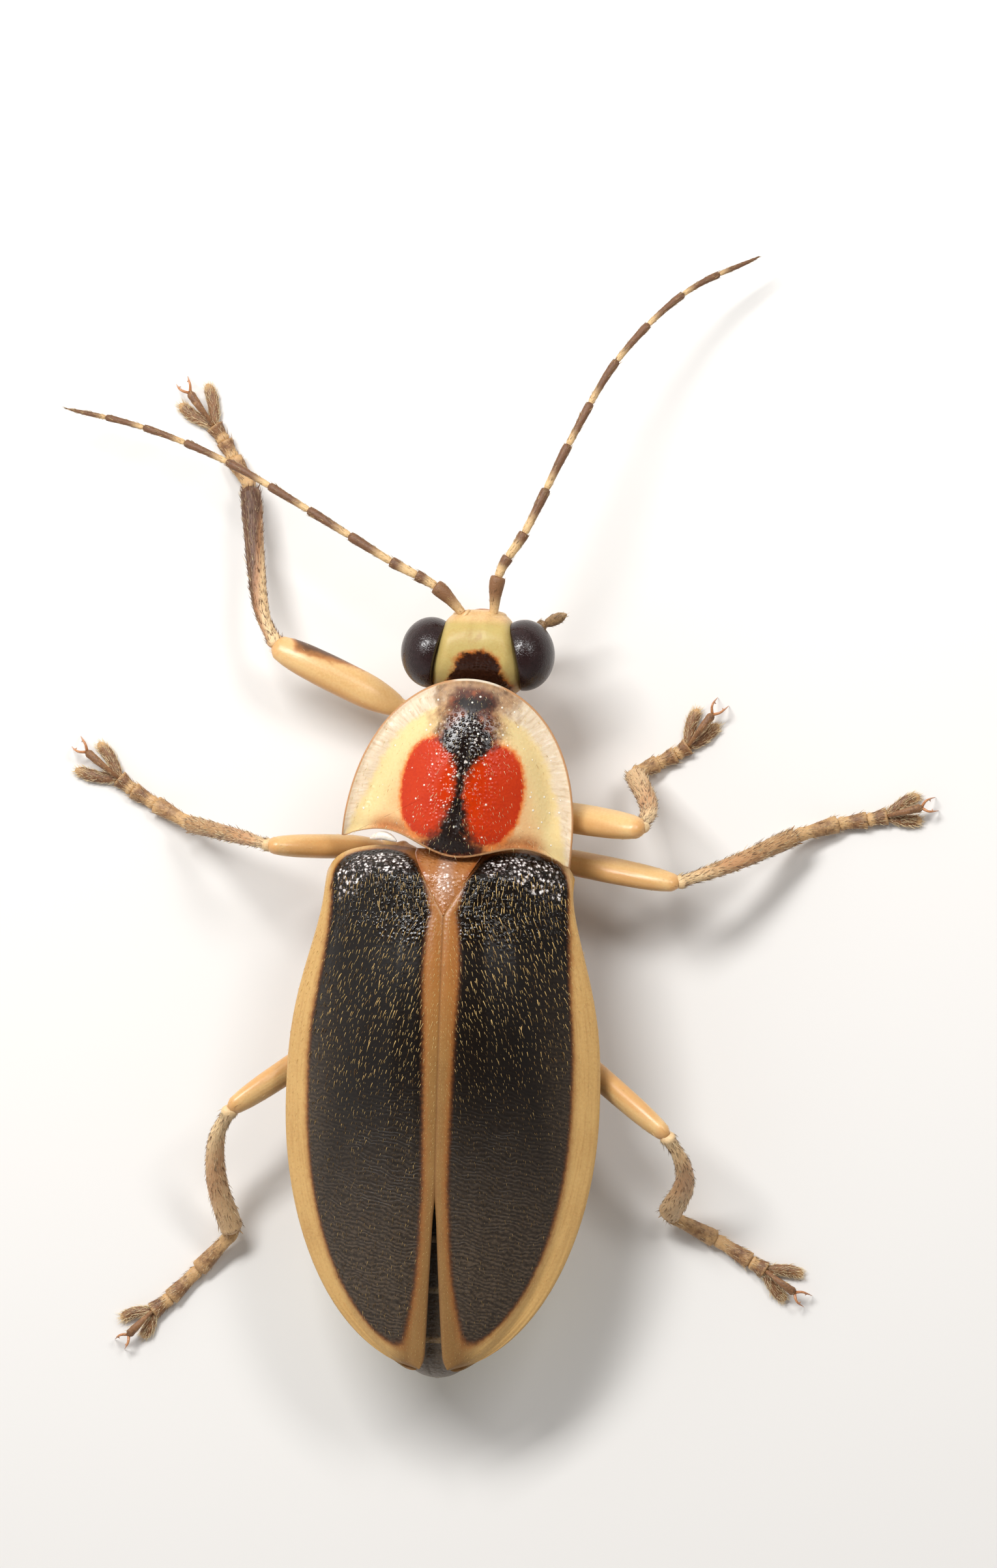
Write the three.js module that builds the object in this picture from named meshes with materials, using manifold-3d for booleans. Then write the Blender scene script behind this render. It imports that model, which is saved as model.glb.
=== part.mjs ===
import * as THREE from 'three';
import { mergeVertices } from 'three/addons/utils/BufferGeometryUtils.js';
import Module from 'manifold-3d';

// A firefly at life size, standing on a floor. Millimetres, +Z up, head towards +Y.
// While the pieces are made, x = 0 is the line between the wing cases, y = 0 is the
// back edge of the pronotum and z = 0 is the floor.

// Clearance between pieces that touch in life.
const SEAM = 0.14;

// Wing cases.
const CASE_HALF_WIDTH = 2.69;
const CASE_WIDEST_Y = -4.3;
const CASE_FRONT_Y = -0.02;
const CASE_TIP_Y = -8.86;
const CASE_SHOULDER_LOSS = 0.56;
const CASE_SHOULDER_REACH = 4.2;
const CASE_CREST_Z = 3.4;
const CASE_EDGE_Z = 2.2;
const CASE_THICKNESS = 0.5;
const CASE_RIM_THICKNESS = 0.3;
const CASE_ARCH_POWER = 2.3;
const CASE_GAP_START_Y = -5.8;
const CASE_GAP_AT_TIP = 0.13;
const CASE_TIP_TURN = THREE.MathUtils.degToRad(82);
const CASE_PEAK_Y = -3.2;
const CASE_BASE_FALL = 0.4;
const CASE_TIP_FALL = 0.95;
const CASE_SUTURE_DIP = 0.1;
const CASE_FRONT_DIP = 0.45;
const CASE_FRONT_DIP_LENGTH = 0.95;
const CASE_MARGIN_FLARE = 0.05;

// Scutellum, the small triangle between the wing-case bases.
const SCUTELLUM_HALF_WIDTH = 0.46;
const SCUTELLUM_FRONT_Y = -0.12;
const SCUTELLUM_TIP_Y = -1.0;
const SCUTELLUM_TOP_Z = 2.92;
const SCUTELLUM_THICKNESS = 0.5;

// Pronotum, the shield behind the head, in a frame of its own.
const SHIELD_CENTRE = new THREE.Vector3(0.1, 0.03, 0);
const SHIELD_YAW = THREE.MathUtils.degToRad(-6.5);
const SHIELD_HALF_WIDTH = 1.96;
const SHIELD_LENGTH = 2.93;
const SHIELD_CREST_Z = 3.15;
const SHIELD_ARCH = 0.65;
const SHIELD_FRONT_DROP = 0.35;
const SHIELD_BACK_DROP = 0.15;
const SHIELD_THICKNESS = 0.5;
const SHIELD_RIM_THICKNESS = 0.3;
const SHIELD_SLOPE_START_Y = 1.2;
const SHIELD_HIND_SLOPE = 0.5;
const SHIELD_HIND_BOW = 0.07;

// Head, eyes and mouth. Each section of the head has its place along Y, its half width,
// and the heights of its top and its underside.
const HEAD_X = 0.35;
const HEAD_SECTIONS = [
  [2.62, 0.45, 2.1, 1.5],
  [2.95, 0.62, 2.28, 1.35],
  [3.15, 0.78, 2.5, 1.2],
  [3.45, 0.88, 2.68, 1.12],
  [3.75, 0.84, 2.68, 1.12],
  [3.97, 0.66, 2.58, 1.2],
  [4.1, 0.46, 2.42, 1.4],
];
const LIP_CENTRE_Y = 4.0;
const LIP_CENTRE_Z = 1.34;
const LIP_RADII = new THREE.Vector3(0.36, 0.22, 0.2);
const EYE_OFFSET_X = 0.8;
const EYE_CENTRE_Y = 3.41;
const EYE_CENTRE_Z = 2.1;
const EYE_RADII = new THREE.Vector3(0.52, 0.61, 0.6);

// Body under the shield and the wing cases. Each section of the prothorax and the thorax
// has its place along Y, its half width and the height of its underside.
const BELLY_Z = 0.95;
const PROTHORAX_EDGE_Z = 1.75;
const PROTHORAX_ROOF_Z = 2.9;
const PROTHORAX_SECTIONS = [
  [0.2, 0.8, 1.15], [0.6, 0.95, 1.05], [1.4, 0.92, 1.02], [2.1, 0.7, 1.15], [2.42, 0.55, 1.3],
];
const THORAX_SECTIONS = [
  [-0.06, 0.9, 1.2], [-0.35, 1.25, 1.05], [-0.9, 1.6, 0.95],
  [-1.6, 1.7, 0.9], [-2.3, 1.7, 0.92], [-2.85, 1.6, 1.0],
];
const ABDOMEN_FRONT_Y = -2.85;
const ABDOMEN_HALF_WIDTH = 2.2;
const ABDOMEN_EDGE_Z = 1.72;
const ABDOMEN_TIP_Y = -9.02;
const ABDOMEN_TIP_HALF_WIDTH = 0.5;
const ABDOMEN_TIP_BELLY_Z = 1.5;
const ABDOMEN_TIP_EDGE_Z = 1.78;
const ABDOMEN_CLOSE_Y = -8.6;
const VENTRITE_LENGTH = 0.86;
const LANTERN_FRONT_Y = -6.6;
const LANTERN_BACK_Y = -8.3;

// Antenna: lengths of the eleven segments from the head outwards, and the radii of the
// solid tube, which is kept stout enough to stand as a solid piece.
const ANTENNA_SEGMENTS = [0.62, 0.37, 0.5, 0.85, 0.85, 0.82, 0.88, 0.85, 0.82, 0.74, 0.8];
const ANTENNA_BASE_RADIUS = 0.25;
const ANTENNA_END_RADIUS = 0.15;
const ANTENNA_TIP_RADIUS = 0.05;

// Legs: radii of the solid limbs, and the height of the foot's middle line.
const FEMUR_RADIUS = 0.27;
const TIBIA_KNEE_RADIUS = 0.2;
const TIBIA_ANKLE_RADIUS = 0.25;
const TARSUS_RADIUS = 0.2;
const LOBE_RADIUS = 0.16;
const CLAW_RADIUS = 0.07;
const SPUR_LENGTH = 0.24;

const v3 = (x, y, z) => new THREE.Vector3(x, y, z);
const lerp = THREE.MathUtils.lerp;
const smoothstep = THREE.MathUtils.smoothstep;

// Where each leg's joints stand: the end of the coxa, the knee, a point on the shin,
// the ankle, the foot's three short segments, its two lobes and the claws.
const LEGS = {
  front_left: {
    coxaRoot: v3(-0.3, 1.35, 1.35),
    hip: v3(-0.72, 2.3, 1.05),
    knee: v3(-3.22, 3.45, 1.15),
    shin: [v3(-3.56, 4.2, 0.93)],
    ankle: v3(-3.85, 6.2, 0.42),
    foot: [v3(-4.2, 6.7, 0.2), v3(-4.37, 7.0, 0.2), v3(-4.56, 7.26, 0.2)],
    lobes: [v3(-5.17, 7.62, 0.12), v3(-4.7, 7.98, 0.12)],
    claws: v3(-5.07, 7.93, 0.22),
  },
  front_right: {
    coxaRoot: v3(0.35, 1.2, 1.35),
    hip: v3(0.8, 0.8, 0.84),
    knee: v3(3.27, 0.51, 2.5),
    shin: [v3(3.32, 0.88, 1.5)],
    ankle: v3(2.98, 1.45, 0.45),
    foot: [v3(3.35, 1.63, 0.2), v3(3.67, 1.8, 0.2), v3(3.88, 1.95, 0.2)],
    lobes: [v3(4.02, 2.6, 0.12), v3(4.37, 2.35, 0.12)],
    claws: v3(4.37, 2.63, 0.22),
  },
  middle_left: {
    coxaRoot: v3(-0.5, -0.5, 1.15),
    hip: v3(-1.06, 0.05, 0.82),
    knee: v3(-3.08, 0.02, 2.3),
    shin: [v3(-3.88, 0.18, 1.35)],
    ankle: v3(-4.72, 0.33, 0.45),
    foot: [v3(-5.38, 0.66, 0.2), v3(-5.78, 0.89, 0.2), v3(-6.03, 1.09, 0.2)],
    lobes: [v3(-6.8, 1.21, 0.12), v3(-6.41, 1.69, 0.12)],
    claws: v3(-6.7, 1.62, 0.22),
  },
  middle_right: {
    coxaRoot: v3(0.5, -0.5, 1.15),
    hip: v3(1.0, 0.05, 0.82),
    knee: v3(3.85, -0.41, 1.75),
    shin: [v3(4.77, -0.05, 1.15)],
    ankle: v3(5.8, 0.46, 0.45),
    foot: [v3(6.52, 0.69, 0.2), v3(7.02, 0.77, 0.2), v3(7.36, 0.85, 0.2)],
    lobes: [v3(7.9, 1.21, 0.12), v3(7.95, 0.8, 0.12)],
    claws: v3(8.07, 1.05, 0.22),
  },
  hind_left: {
    coxaRoot: v3(-0.5, -2.45, 1.1),
    hip: v3(-1.2, -2.7, 0.66),
    knee: v3(-3.66, -4.5, 1.95),
    shin: [v3(-3.95, -5.05, 1.55), v3(-3.98, -5.85, 1.0)],
    ankle: v3(-3.74, -6.71, 0.45),
    foot: [v3(-4.37, -7.41, 0.2), v3(-4.85, -7.92, 0.2), v3(-5.15, -8.16, 0.2)],
    lobes: [v3(-5.7, -8.31, 0.12), v3(-5.32, -8.62, 0.12)],
    claws: v3(-5.62, -8.66, 0.22),
  },
  hind_right: {
    coxaRoot: v3(0.5, -2.45, 1.1),
    hip: v3(1.3, -2.78, 0.66),
    knee: v3(3.84, -4.69, 2.3),
    shin: [v3(4.1, -5.15, 1.95), v3(4.12, -5.6, 1.35)],
    ankle: v3(3.8, -6.15, 0.45),
    foot: [v3(4.63, -6.56, 0.2), v3(5.24, -6.92, 0.2), v3(5.5, -7.07, 0.2)],
    lobes: [v3(6.14, -7.12, 0.12), v3(5.86, -7.57, 0.12)],
    claws: v3(6.13, -7.5, 0.22),
  },
};

// Points that each antenna's curve passes, from the head outwards.
const ANTENNAE = {
  left: [
    v3(0.08, 4.2, 2.27), v3(-0.39, 4.54, 2.35), v3(-1.22, 4.97, 2.3), v3(-2.74, 5.84, 2.05),
    v3(-4.18, 6.61, 1.7), v3(-5.64, 7.15, 1.25), v3(-7.08, 7.46, 0.75),
  ],
  right: [
    v3(0.61, 4.16, 2.25), v3(0.71, 4.82, 2.35), v3(1.14, 5.57, 2.3), v3(1.82, 7.1, 2.05),
    v3(2.58, 8.55, 1.7), v3(3.65, 9.72, 1.25), v3(4.89, 10.41, 0.75),
  ],
};

const PALPS = {
  left: [v3(-0.27, 3.7, 0.98), v3(-0.38, 3.78, 0.84), v3(-0.42, 3.84, 0.64), v3(-0.36, 3.84, 0.34)],
  right: [v3(1.03, 3.76, 1.02), v3(1.15, 3.92, 1.0), v3(1.38, 3.97, 1.2), v3(1.78, 4.13, 1.5)],
};

const library = await Module();
library.setup();

const finish = (colour, roughness) =>
  new THREE.MeshStandardMaterial({ color: colour, roughness, metalness: 0 });
const MATERIALS = {
  head: finish(0xd9d48a, 0.4),
  eye: finish(0x1a100d, 0.12),
  antenna: finish(0x5a4028, 0.5),
  palp: finish(0x8a7050, 0.5),
  shield: finish(0xe8b060, 0.35),
  wingCase: finish(0x2a1c12, 0.45),
  scutellum: finish(0xc98a5c, 0.45),
  body: finish(0xb98a52, 0.5),
  lantern: finish(0xe6e0b4, 0.4),
  limb: finish(0xd9a05c, 0.4),
  shin: finish(0x7a5a38, 0.5),
};

// Closed surfaces from points and triangles.

function signedVolume(points, faces) {
  return faces.reduce((sum, [a, b, c]) => {
    const cross = v3(0, 0, 0).crossVectors(points[b], points[c]);
    return sum + points[a].dot(cross) / 6;
  }, 0);
}

function closedGeometry(points, faces) {
  const outward = signedVolume(points, faces) > 0;
  const index = faces.flatMap(([a, b, c]) => (outward ? [a, b, c] : [a, c, b]));
  const geometry = new THREE.BufferGeometry();
  const positions = points.flatMap((point) => [point.x, point.y, point.z]);
  geometry.setAttribute('position', new THREE.Float32BufferAttribute(positions, 3));
  geometry.setIndex(index);
  return geometry;
}

function average(points) {
  return points.reduce((sum, point) => sum.add(point), v3(0, 0, 0)).divideScalar(points.length);
}

// A body through rings of equal count, with a point in the middle of each end.
function loft(rings) {
  const sides = rings[0].length;
  const points = rings.flat();
  const faces = [];
  for (let ring = 0; ring + 1 < rings.length; ring += 1) {
    for (let side = 0; side < sides; side += 1) {
      const next = (side + 1) % sides;
      const a = ring * sides + side;
      const b = ring * sides + next;
      faces.push([a, b, b + sides], [a, b + sides, a + sides]);
    }
  }
  const first = points.push(average(rings[0])) - 1;
  const last = points.push(average(rings.at(-1))) - 1;
  const lastRing = (rings.length - 1) * sides;
  for (let side = 0; side < sides; side += 1) {
    const next = (side + 1) % sides;
    faces.push([first, next, side], [last, lastRing + side, lastRing + next]);
  }
  return closedGeometry(points, faces);
}

// A plate between two grids of points, rows by columns, split into triangles alike.
function plate(top, bottom) {
  const rows = top.length;
  const columns = top[0].length;
  const points = [...top.flat(), ...bottom.flat()];
  const under = rows * columns;
  const at = (row, column) => row * columns + column;
  const faces = [];
  for (let row = 0; row + 1 < rows; row += 1) {
    for (let column = 0; column + 1 < columns; column += 1) {
      const a = at(row, column);
      const b = at(row, column + 1);
      const c = at(row + 1, column + 1);
      const d = at(row + 1, column);
      faces.push([a, b, c], [a, c, d], [under + a, under + c, under + b], [under + a, under + d, under + c]);
    }
  }
  const rim = [];
  for (let column = 0; column + 1 < columns; column += 1) rim.push(at(0, column));
  for (let row = 0; row + 1 < rows; row += 1) rim.push(at(row, columns - 1));
  for (let column = columns - 1; column > 0; column -= 1) rim.push(at(rows - 1, column));
  for (let row = rows - 1; row > 0; row -= 1) rim.push(at(row, 0));
  rim.forEach((a, place) => {
    const b = rim[(place + 1) % rim.length];
    faces.push([a, under + b, b], [a, under + a, under + b]);
  });
  return closedGeometry(points, faces);
}

// A plate inside a closed outline, as rings that shrink towards its middle.
function roundPlate(rings, middle, lowerRings, lowerMiddle) {
  const sides = rings[0].length;
  const points = [...rings.flat(), middle, ...lowerRings.flat(), lowerMiddle];
  const centre = rings.length * sides;
  const under = centre + 1;
  const faces = [];
  for (let side = 0; side < sides; side += 1) {
    const next = (side + 1) % sides;
    for (let ring = 0; ring + 1 < rings.length; ring += 1) {
      const a = ring * sides + side;
      const b = ring * sides + next;
      faces.push([a, b, b + sides], [a, b + sides, a + sides]);
      faces.push([under + a, under + b + sides, under + b]);
      faces.push([under + a, under + a + sides, under + b + sides]);
    }
    const inner = (rings.length - 1) * sides;
    faces.push([inner + side, inner + next, centre]);
    faces.push([under + inner + side, under + centre, under + inner + next]);
    faces.push([side, under + next, next], [side, under + side, under + next]);
  }
  return closedGeometry(points, faces);
}

// A limb along a line of stations, each with a place, a half width and a half height.
function limb(stations, sides) {
  let up = v3(0, 0, 1);
  const rings = stations.map((station, place) => {
    const before = stations[Math.max(place - 1, 0)].at;
    const after = stations[Math.min(place + 1, stations.length - 1)].at;
    const along = after.clone().sub(before).normalize();
    if (Math.abs(up.dot(along)) > 0.98) up = v3(0, 1, 0);
    const side = v3(0, 0, 0).crossVectors(along, up).normalize();
    up = v3(0, 0, 0).crossVectors(side, along).normalize();
    return Array.from({ length: sides }, (_, corner) => {
      const angle = ((corner + 0.5) / sides) * 2 * Math.PI;
      return station.at.clone()
        .addScaledVector(side, station.wide * Math.cos(angle))
        .addScaledVector(up, station.high * Math.sin(angle));
    });
  });
  return loft(rings);
}

const station = (at, wide, high = wide) => ({ at, wide, high });

// The same limb grown by a margin all round, for cutting clearance into its neighbour.
function grown(stations, margin) {
  const last = stations.length - 1;
  return stations.map(({ at, wide, high }, place) => {
    const inner = place === 0 ? stations[1].at : stations[last - 1].at;
    const outward = at.clone().sub(inner).normalize();
    const shift = place === 0 || place === last ? margin : 0;
    return station(at.clone().addScaledVector(outward, shift), wide + margin, high + margin);
  });
}

function ball(centre, radii, around = 16, along = 10) {
  const geometry = new THREE.SphereGeometry(1, around, along);
  geometry.scale(radii.x, radii.y, radii.z);
  geometry.translate(centre.x, centre.y, centre.z);
  return geometry;
}

// Joining and cutting.

function toSolid(geometry) {
  const bare = geometry.clone();
  bare.deleteAttribute('normal');
  bare.deleteAttribute('uv');
  const merged = mergeVertices(bare, 1e-5);
  return new library.Manifold(new library.Mesh({
    numProp: 3,
    vertProperties: new Float32Array(merged.attributes.position.array),
    triVerts: new Uint32Array(merged.index.array),
  }));
}

function toGeometry(solid) {
  const largest = solid.decompose().sort((a, b) => b.volume() - a.volume())[0];
  const mesh = largest.getMesh();
  const geometry = new THREE.BufferGeometry();
  geometry.setAttribute('position', new THREE.BufferAttribute(mesh.vertProperties, 3));
  geometry.setIndex(new THREE.BufferAttribute(mesh.triVerts, 1));
  return geometry;
}

function join(geometries) {
  return geometries.map(toSolid).reduce((whole, piece) => whole.add(piece));
}

function cut(solid, geometries) {
  return geometries.reduce((rest, geometry) => rest.subtract(toSolid(geometry)), solid);
}

// Everything below the floor, which gives the feet their flats.
function belowFloor() {
  const block = new THREE.BoxGeometry(40, 40, 4);
  block.translate(0, 0, -2);
  return block;
}

// Wing cases.

function caseOuter(y) {
  if (y < CASE_WIDEST_Y) {
    const rear = Math.min((CASE_WIDEST_Y - y) / (CASE_WIDEST_Y - CASE_TIP_Y), 1);
    return CASE_HALF_WIDTH * Math.sqrt(1 - rear ** 2);
  }
  const forward = smoothstep(y, CASE_WIDEST_Y, CASE_WIDEST_Y + CASE_SHOULDER_REACH) ** 1.5;
  return CASE_HALF_WIDTH - CASE_SHOULDER_LOSS * forward;
}

function caseInner(y) {
  const beside = Math.max((y - SCUTELLUM_TIP_Y) / (SCUTELLUM_FRONT_Y - SCUTELLUM_TIP_Y), 0);
  const opening = Math.max((CASE_GAP_START_Y - y) / (CASE_GAP_START_Y - CASE_TIP_Y), 0);
  return SEAM / 2 + SCUTELLUM_HALF_WIDTH * Math.min(beside, 1.1) + CASE_GAP_AT_TIP * opening;
}

function caseCrest(y) {
  if (y > CASE_PEAK_Y) {
    return CASE_CREST_Z - CASE_BASE_FALL * ((y - CASE_PEAK_Y) / CASE_PEAK_Y) ** 2;
  }
  const rear = (CASE_PEAK_Y - y) / (CASE_PEAK_Y - CASE_TIP_Y);
  return CASE_CREST_Z - CASE_TIP_FALL * rear ** 2.2;
}

function caseEdge(y) {
  return CASE_EDGE_Z + 0.1 * ((y - CASE_WIDEST_Y) / CASE_WIDEST_Y) ** 2;
}

// Height of the wing case's outer face, across from the middle line (0) to the margin (1).
function caseTop(across, y) {
  const arch = (caseCrest(y) - caseEdge(y)) * (1 - across ** CASE_ARCH_POWER);
  const sutureDip = CASE_SUTURE_DIP * Math.max(1 - across / 0.25, 0) ** 2;
  const nearBase = Math.max(1 - (CASE_FRONT_Y - y) / CASE_FRONT_DIP_LENGTH, 0);
  const frontDip = CASE_FRONT_DIP * nearBase ** 2 * (1 - 0.6 * across);
  const flare = CASE_MARGIN_FLARE * smoothstep(across, 0.86, 1);
  return caseEdge(y) + arch - sutureDip - frontDip + flare;
}

// How far back a row of the wing case lies: share 0 is its base and 1 its tip. Rows are
// closest at both ends, and behind the widest place they follow the outline's quarter turn.
function caseRow(share) {
  const waist = 0.45;
  if (share < waist) {
    const forward = Math.cos((share / waist) * Math.PI / 2);
    return lerp(CASE_FRONT_Y, CASE_WIDEST_Y, 1 - forward);
  }
  const turn = ((share - waist) / (1 - waist)) * CASE_TIP_TURN;
  return CASE_WIDEST_Y - (CASE_WIDEST_Y - CASE_TIP_Y) * Math.sin(turn);
}

// A point of the outer face, whose front corners are rounded off.
function caseSurface(side, across, along) {
  const y = caseRow(along);
  const x = lerp(caseInner(y), caseOuter(y), across);
  const rounding = 0.36 * across ** 3 + 0.1 * (1 - across) ** 4;
  return v3(side * x, y - rounding * (1 - smoothstep(along, 0, 0.4)), caseTop(across, y));
}

function caseNormal(side, across, along) {
  const step = 0.01;
  const at = (a, b) => caseSurface(side, Math.min(Math.max(a, 0), 1), Math.min(Math.max(b, 0), 0.99));
  const over = at(across + step, along).sub(at(across - step, along));
  const back = at(across, along + step).sub(at(across, along - step));
  const normal = v3(0, 0, 0).crossVectors(over, back).normalize();
  return normal.z < 0 ? normal.negate() : normal;
}

function wingCase(side) {
  const rows = 24;
  const columns = 11;
  const top = [];
  const bottom = [];
  for (let row = 0; row <= rows; row += 1) {
    const along = row / rows;
    const nearEnd = Math.max(smoothstep(along, 0.9, 1), 1 - smoothstep(along, 0, 0.12));
    const upper = [];
    const lower = [];
    for (let column = 0; column <= columns; column += 1) {
      const across = Math.sin((column / columns) * Math.PI / 2) ** 1.1;
      const margin = Math.max(smoothstep(across, 0.7, 1), nearEnd);
      const depth = lerp(CASE_THICKNESS, CASE_RIM_THICKNESS, margin);
      const point = caseSurface(side, across, along);
      upper.push(point);
      lower.push(point.clone().addScaledVector(caseNormal(side, across, along), -depth));
    }
    top.push(upper);
    bottom.push(lower);
  }
  return plate(top, bottom);
}

// Height of the free space under the wing cases, for the body below them.
function underCase(x, y) {
  const inside = (at) => {
    const across = (Math.abs(at) - caseInner(y)) / (caseOuter(y) - caseInner(y));
    return caseTop(THREE.MathUtils.clamp(across, 0, 1), y);
  };
  const step = 0.05;
  const slope = (inside(Math.abs(x) + step) - inside(Math.abs(x))) / step;
  return inside(x) - (CASE_THICKNESS + SEAM) * Math.hypot(1, slope);
}

// Pronotum.

function fromShield(point) {
  return point.applyAxisAngle(v3(0, 0, 1), SHIELD_YAW).add(SHIELD_CENTRE);
}

function shieldTop(x, y) {
  const arch = SHIELD_ARCH * Math.sin(Math.min(Math.abs(x) / SHIELD_HALF_WIDTH, 1) * Math.PI / 2) ** 2;
  const ahead = Math.max(y - SHIELD_SLOPE_START_Y, 0) / (SHIELD_LENGTH - SHIELD_SLOPE_START_Y);
  const behind = Math.max(SHIELD_HIND_SLOPE - y, 0) / SHIELD_HIND_SLOPE;
  return SHIELD_CREST_Z - arch - SHIELD_FRONT_DROP * ahead ** 2 - SHIELD_BACK_DROP * behind ** 2;
}

// The outline, from the right hind corner over the front (turns 0 to 0.7) and back along
// the hind margin (0.7 to 1).
function shieldOutline(turn) {
  if (turn < 0.7) {
    const angle = (turn / 0.7) * Math.PI;
    const across = Math.cos(angle);
    return [SHIELD_HALF_WIDTH * across, SHIELD_LENGTH * Math.sin(angle) ** (2 / 2.3)];
  }
  const across = lerp(-1, 1, (turn - 0.7) / 0.3);
  return [SHIELD_HALF_WIDTH * across, -SHIELD_HIND_BOW * (1 - across ** 2)];
}

function shieldPlate(grow) {
  const sides = 46;
  const shrink = [1, 0.93, 0.8, 0.6, 0.35];
  const middleY = SHIELD_LENGTH * 0.42;
  const rings = [];
  const lowerRings = [];
  const placed = (x, y, share) => {
    const depth = lerp(SHIELD_THICKNESS, SHIELD_RIM_THICKNESS, smoothstep(share, 0.55, 1));
    const z = shieldTop(x, y);
    return [v3(x, y, z + grow), v3(x, y, z - depth - grow)];
  };
  shrink.forEach((share) => {
    const upper = [];
    const lower = [];
    for (let side = 0; side < sides; side += 1) {
      const [edgeX, edgeY] = shieldOutline(side / sides);
      const outward = new THREE.Vector2(edgeX, edgeY - middleY).normalize().multiplyScalar(grow);
      const x = (edgeX + outward.x) * share;
      const y = middleY + (edgeY + outward.y - middleY) * share;
      const [high, low] = placed(x, y, share);
      upper.push(fromShield(high));
      lower.push(fromShield(low));
    }
    rings.push(upper);
    lowerRings.push(lower);
  });
  const [high, low] = placed(0, middleY, 0);
  return roundPlate(rings, fromShield(high), lowerRings, fromShield(low));
}

// Cross-section of a body piece: half width, side height, belly height and a roof.
function bodyRing(y, halfWidth, edgeZ, bellyZ, roof, sides = 24) {
  return Array.from({ length: sides }, (_, corner) => {
    const angle = (corner / sides) * 2 * Math.PI;
    const x = halfWidth * Math.cos(angle);
    const lift = Math.abs(Math.sin(angle));
    const high = lerp(edgeZ, roof(x, y), lift ** 0.8);
    const low = lerp(edgeZ, bellyZ, lift ** 1.3);
    return v3(x, y, Math.sin(angle) >= 0 ? Math.max(high, edgeZ) : low);
  });
}

// Head with neck, lip, mandibles and the hollows where the eyes sit.
function head() {
  const sides = 20;
  const squared = (value) => Math.sign(value) * Math.abs(value) ** 0.8;
  const rings = HEAD_SECTIONS.map(([y, halfWidth, top, bottom]) =>
    Array.from({ length: sides }, (_, corner) => {
      const angle = (corner / sides) * 2 * Math.PI;
      const x = HEAD_X + halfWidth * squared(Math.cos(angle));
      return v3(x, y, (top + bottom) / 2 + ((top - bottom) / 2) * squared(Math.sin(angle)));
    }));
  const lip = ball(v3(HEAD_X, LIP_CENTRE_Y, LIP_CENTRE_Z), LIP_RADII, 12, 8);
  const mandibles = [-1, 1].map((side) => limb([
    station(v3(HEAD_X + side * 0.28, 3.68, 1.24), 0.17),
    station(v3(HEAD_X + side * 0.3, 3.86, 1.16), 0.15),
    station(v3(HEAD_X + side * 0.24, 3.99, 1.1), 0.11),
    station(v3(HEAD_X + side * 0.04, 4.06, 1.08), 0.05),
  ], 7));
  const sockets = [-1, 1].map((side) => eyeBall(side, SEAM));
  return toGeometry(cut(join([loft(rings), lip, ...mandibles]), [...sockets, shieldPlate(SEAM)]));
}

function eyeBall(side, grow) {
  const centre = v3(HEAD_X + side * EYE_OFFSET_X, EYE_CENTRE_Y, EYE_CENTRE_Z);
  return ball(centre, EYE_RADII.clone().addScalar(grow), 18, 11);
}

function antenna(side) {
  const route = new THREE.CatmullRomCurve3(ANTENNAE[side]);
  const total = ANTENNA_SEGMENTS.reduce((sum, length) => sum + length, 0);
  const start = SEAM / total;
  const stations = [];
  let travelled = 0;
  ANTENNA_SEGMENTS.forEach((length, place) => {
    const share = place / (ANTENNA_SEGMENTS.length - 1);
    const radius = lerp(ANTENNA_BASE_RADIUS, ANTENNA_END_RADIUS, share);
    const last = place === ANTENNA_SEGMENTS.length - 1;
    [[0.02, 0.72], [0.3, 0.86], [0.92, 1]].forEach(([along, swell]) => {
      const reach = start + (1 - start) * ((travelled + along * length) / total);
      const end = last && along > 0.9;
      stations.push(station(route.getPointAt(reach), end ? ANTENNA_TIP_RADIUS : radius * swell));
    });
    travelled += length;
  });
  return limb(stations, 7);
}

function palp(side) {
  const route = new THREE.CatmullRomCurve3(PALPS[side]);
  const swell = [[0.12, 0.13], [0.3, 0.15], [0.36, 0.12], [0.55, 0.16], [0.62, 0.13], [0.8, 0.2], [1, 0.07]];
  return limb(swell.map(([along, radius]) => station(route.getPointAt(along), radius)), 8);
}

function scutellum() {
  const rows = 5;
  const columns = 4;
  const top = [];
  const bottom = [];
  for (let row = 0; row <= rows; row += 1) {
    const y = lerp(SCUTELLUM_FRONT_Y, SCUTELLUM_TIP_Y + 0.12, row / rows);
    const halfWidth = caseInner(y) - SEAM;
    const upper = [];
    const lower = [];
    for (let column = 0; column <= columns; column += 1) {
      const across = lerp(-1, 1, column / columns);
      const z = SCUTELLUM_TOP_Z + 0.1 * (row / rows) - 0.08 * across ** 2;
      upper.push(v3(halfWidth * across, y, z));
      lower.push(v3(halfWidth * across, y, z - SCUTELLUM_THICKNESS));
    }
    top.push(upper);
    bottom.push(lower);
  }
  return toGeometry(cut(toSolid(plate(top, bottom)), [shieldPlate(SEAM)]));
}

function coxaStations(leg) {
  const { coxaRoot, hip } = LEGS[leg];
  const at = (share) => coxaRoot.clone().lerp(hip, share);
  return [
    station(at(-0.1), 0.28),
    station(at(0.3), 0.31),
    station(at(0.75), 0.24),
    station(at(0.95), 0.15),
  ];
}

const coxa = (leg) => limb(coxaStations(leg), 10);

function prothorax() {
  const rings = PROTHORAX_SECTIONS.map(([y, halfWidth, belly]) =>
    bodyRing(y, halfWidth, PROTHORAX_EDGE_Z, belly, () => PROTHORAX_ROOF_Z, 20).map(fromShield));
  const whole = join([loft(rings), coxa('front_left'), coxa('front_right')]);
  return toGeometry(cut(whole, [shieldPlate(SEAM)]));
}

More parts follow.
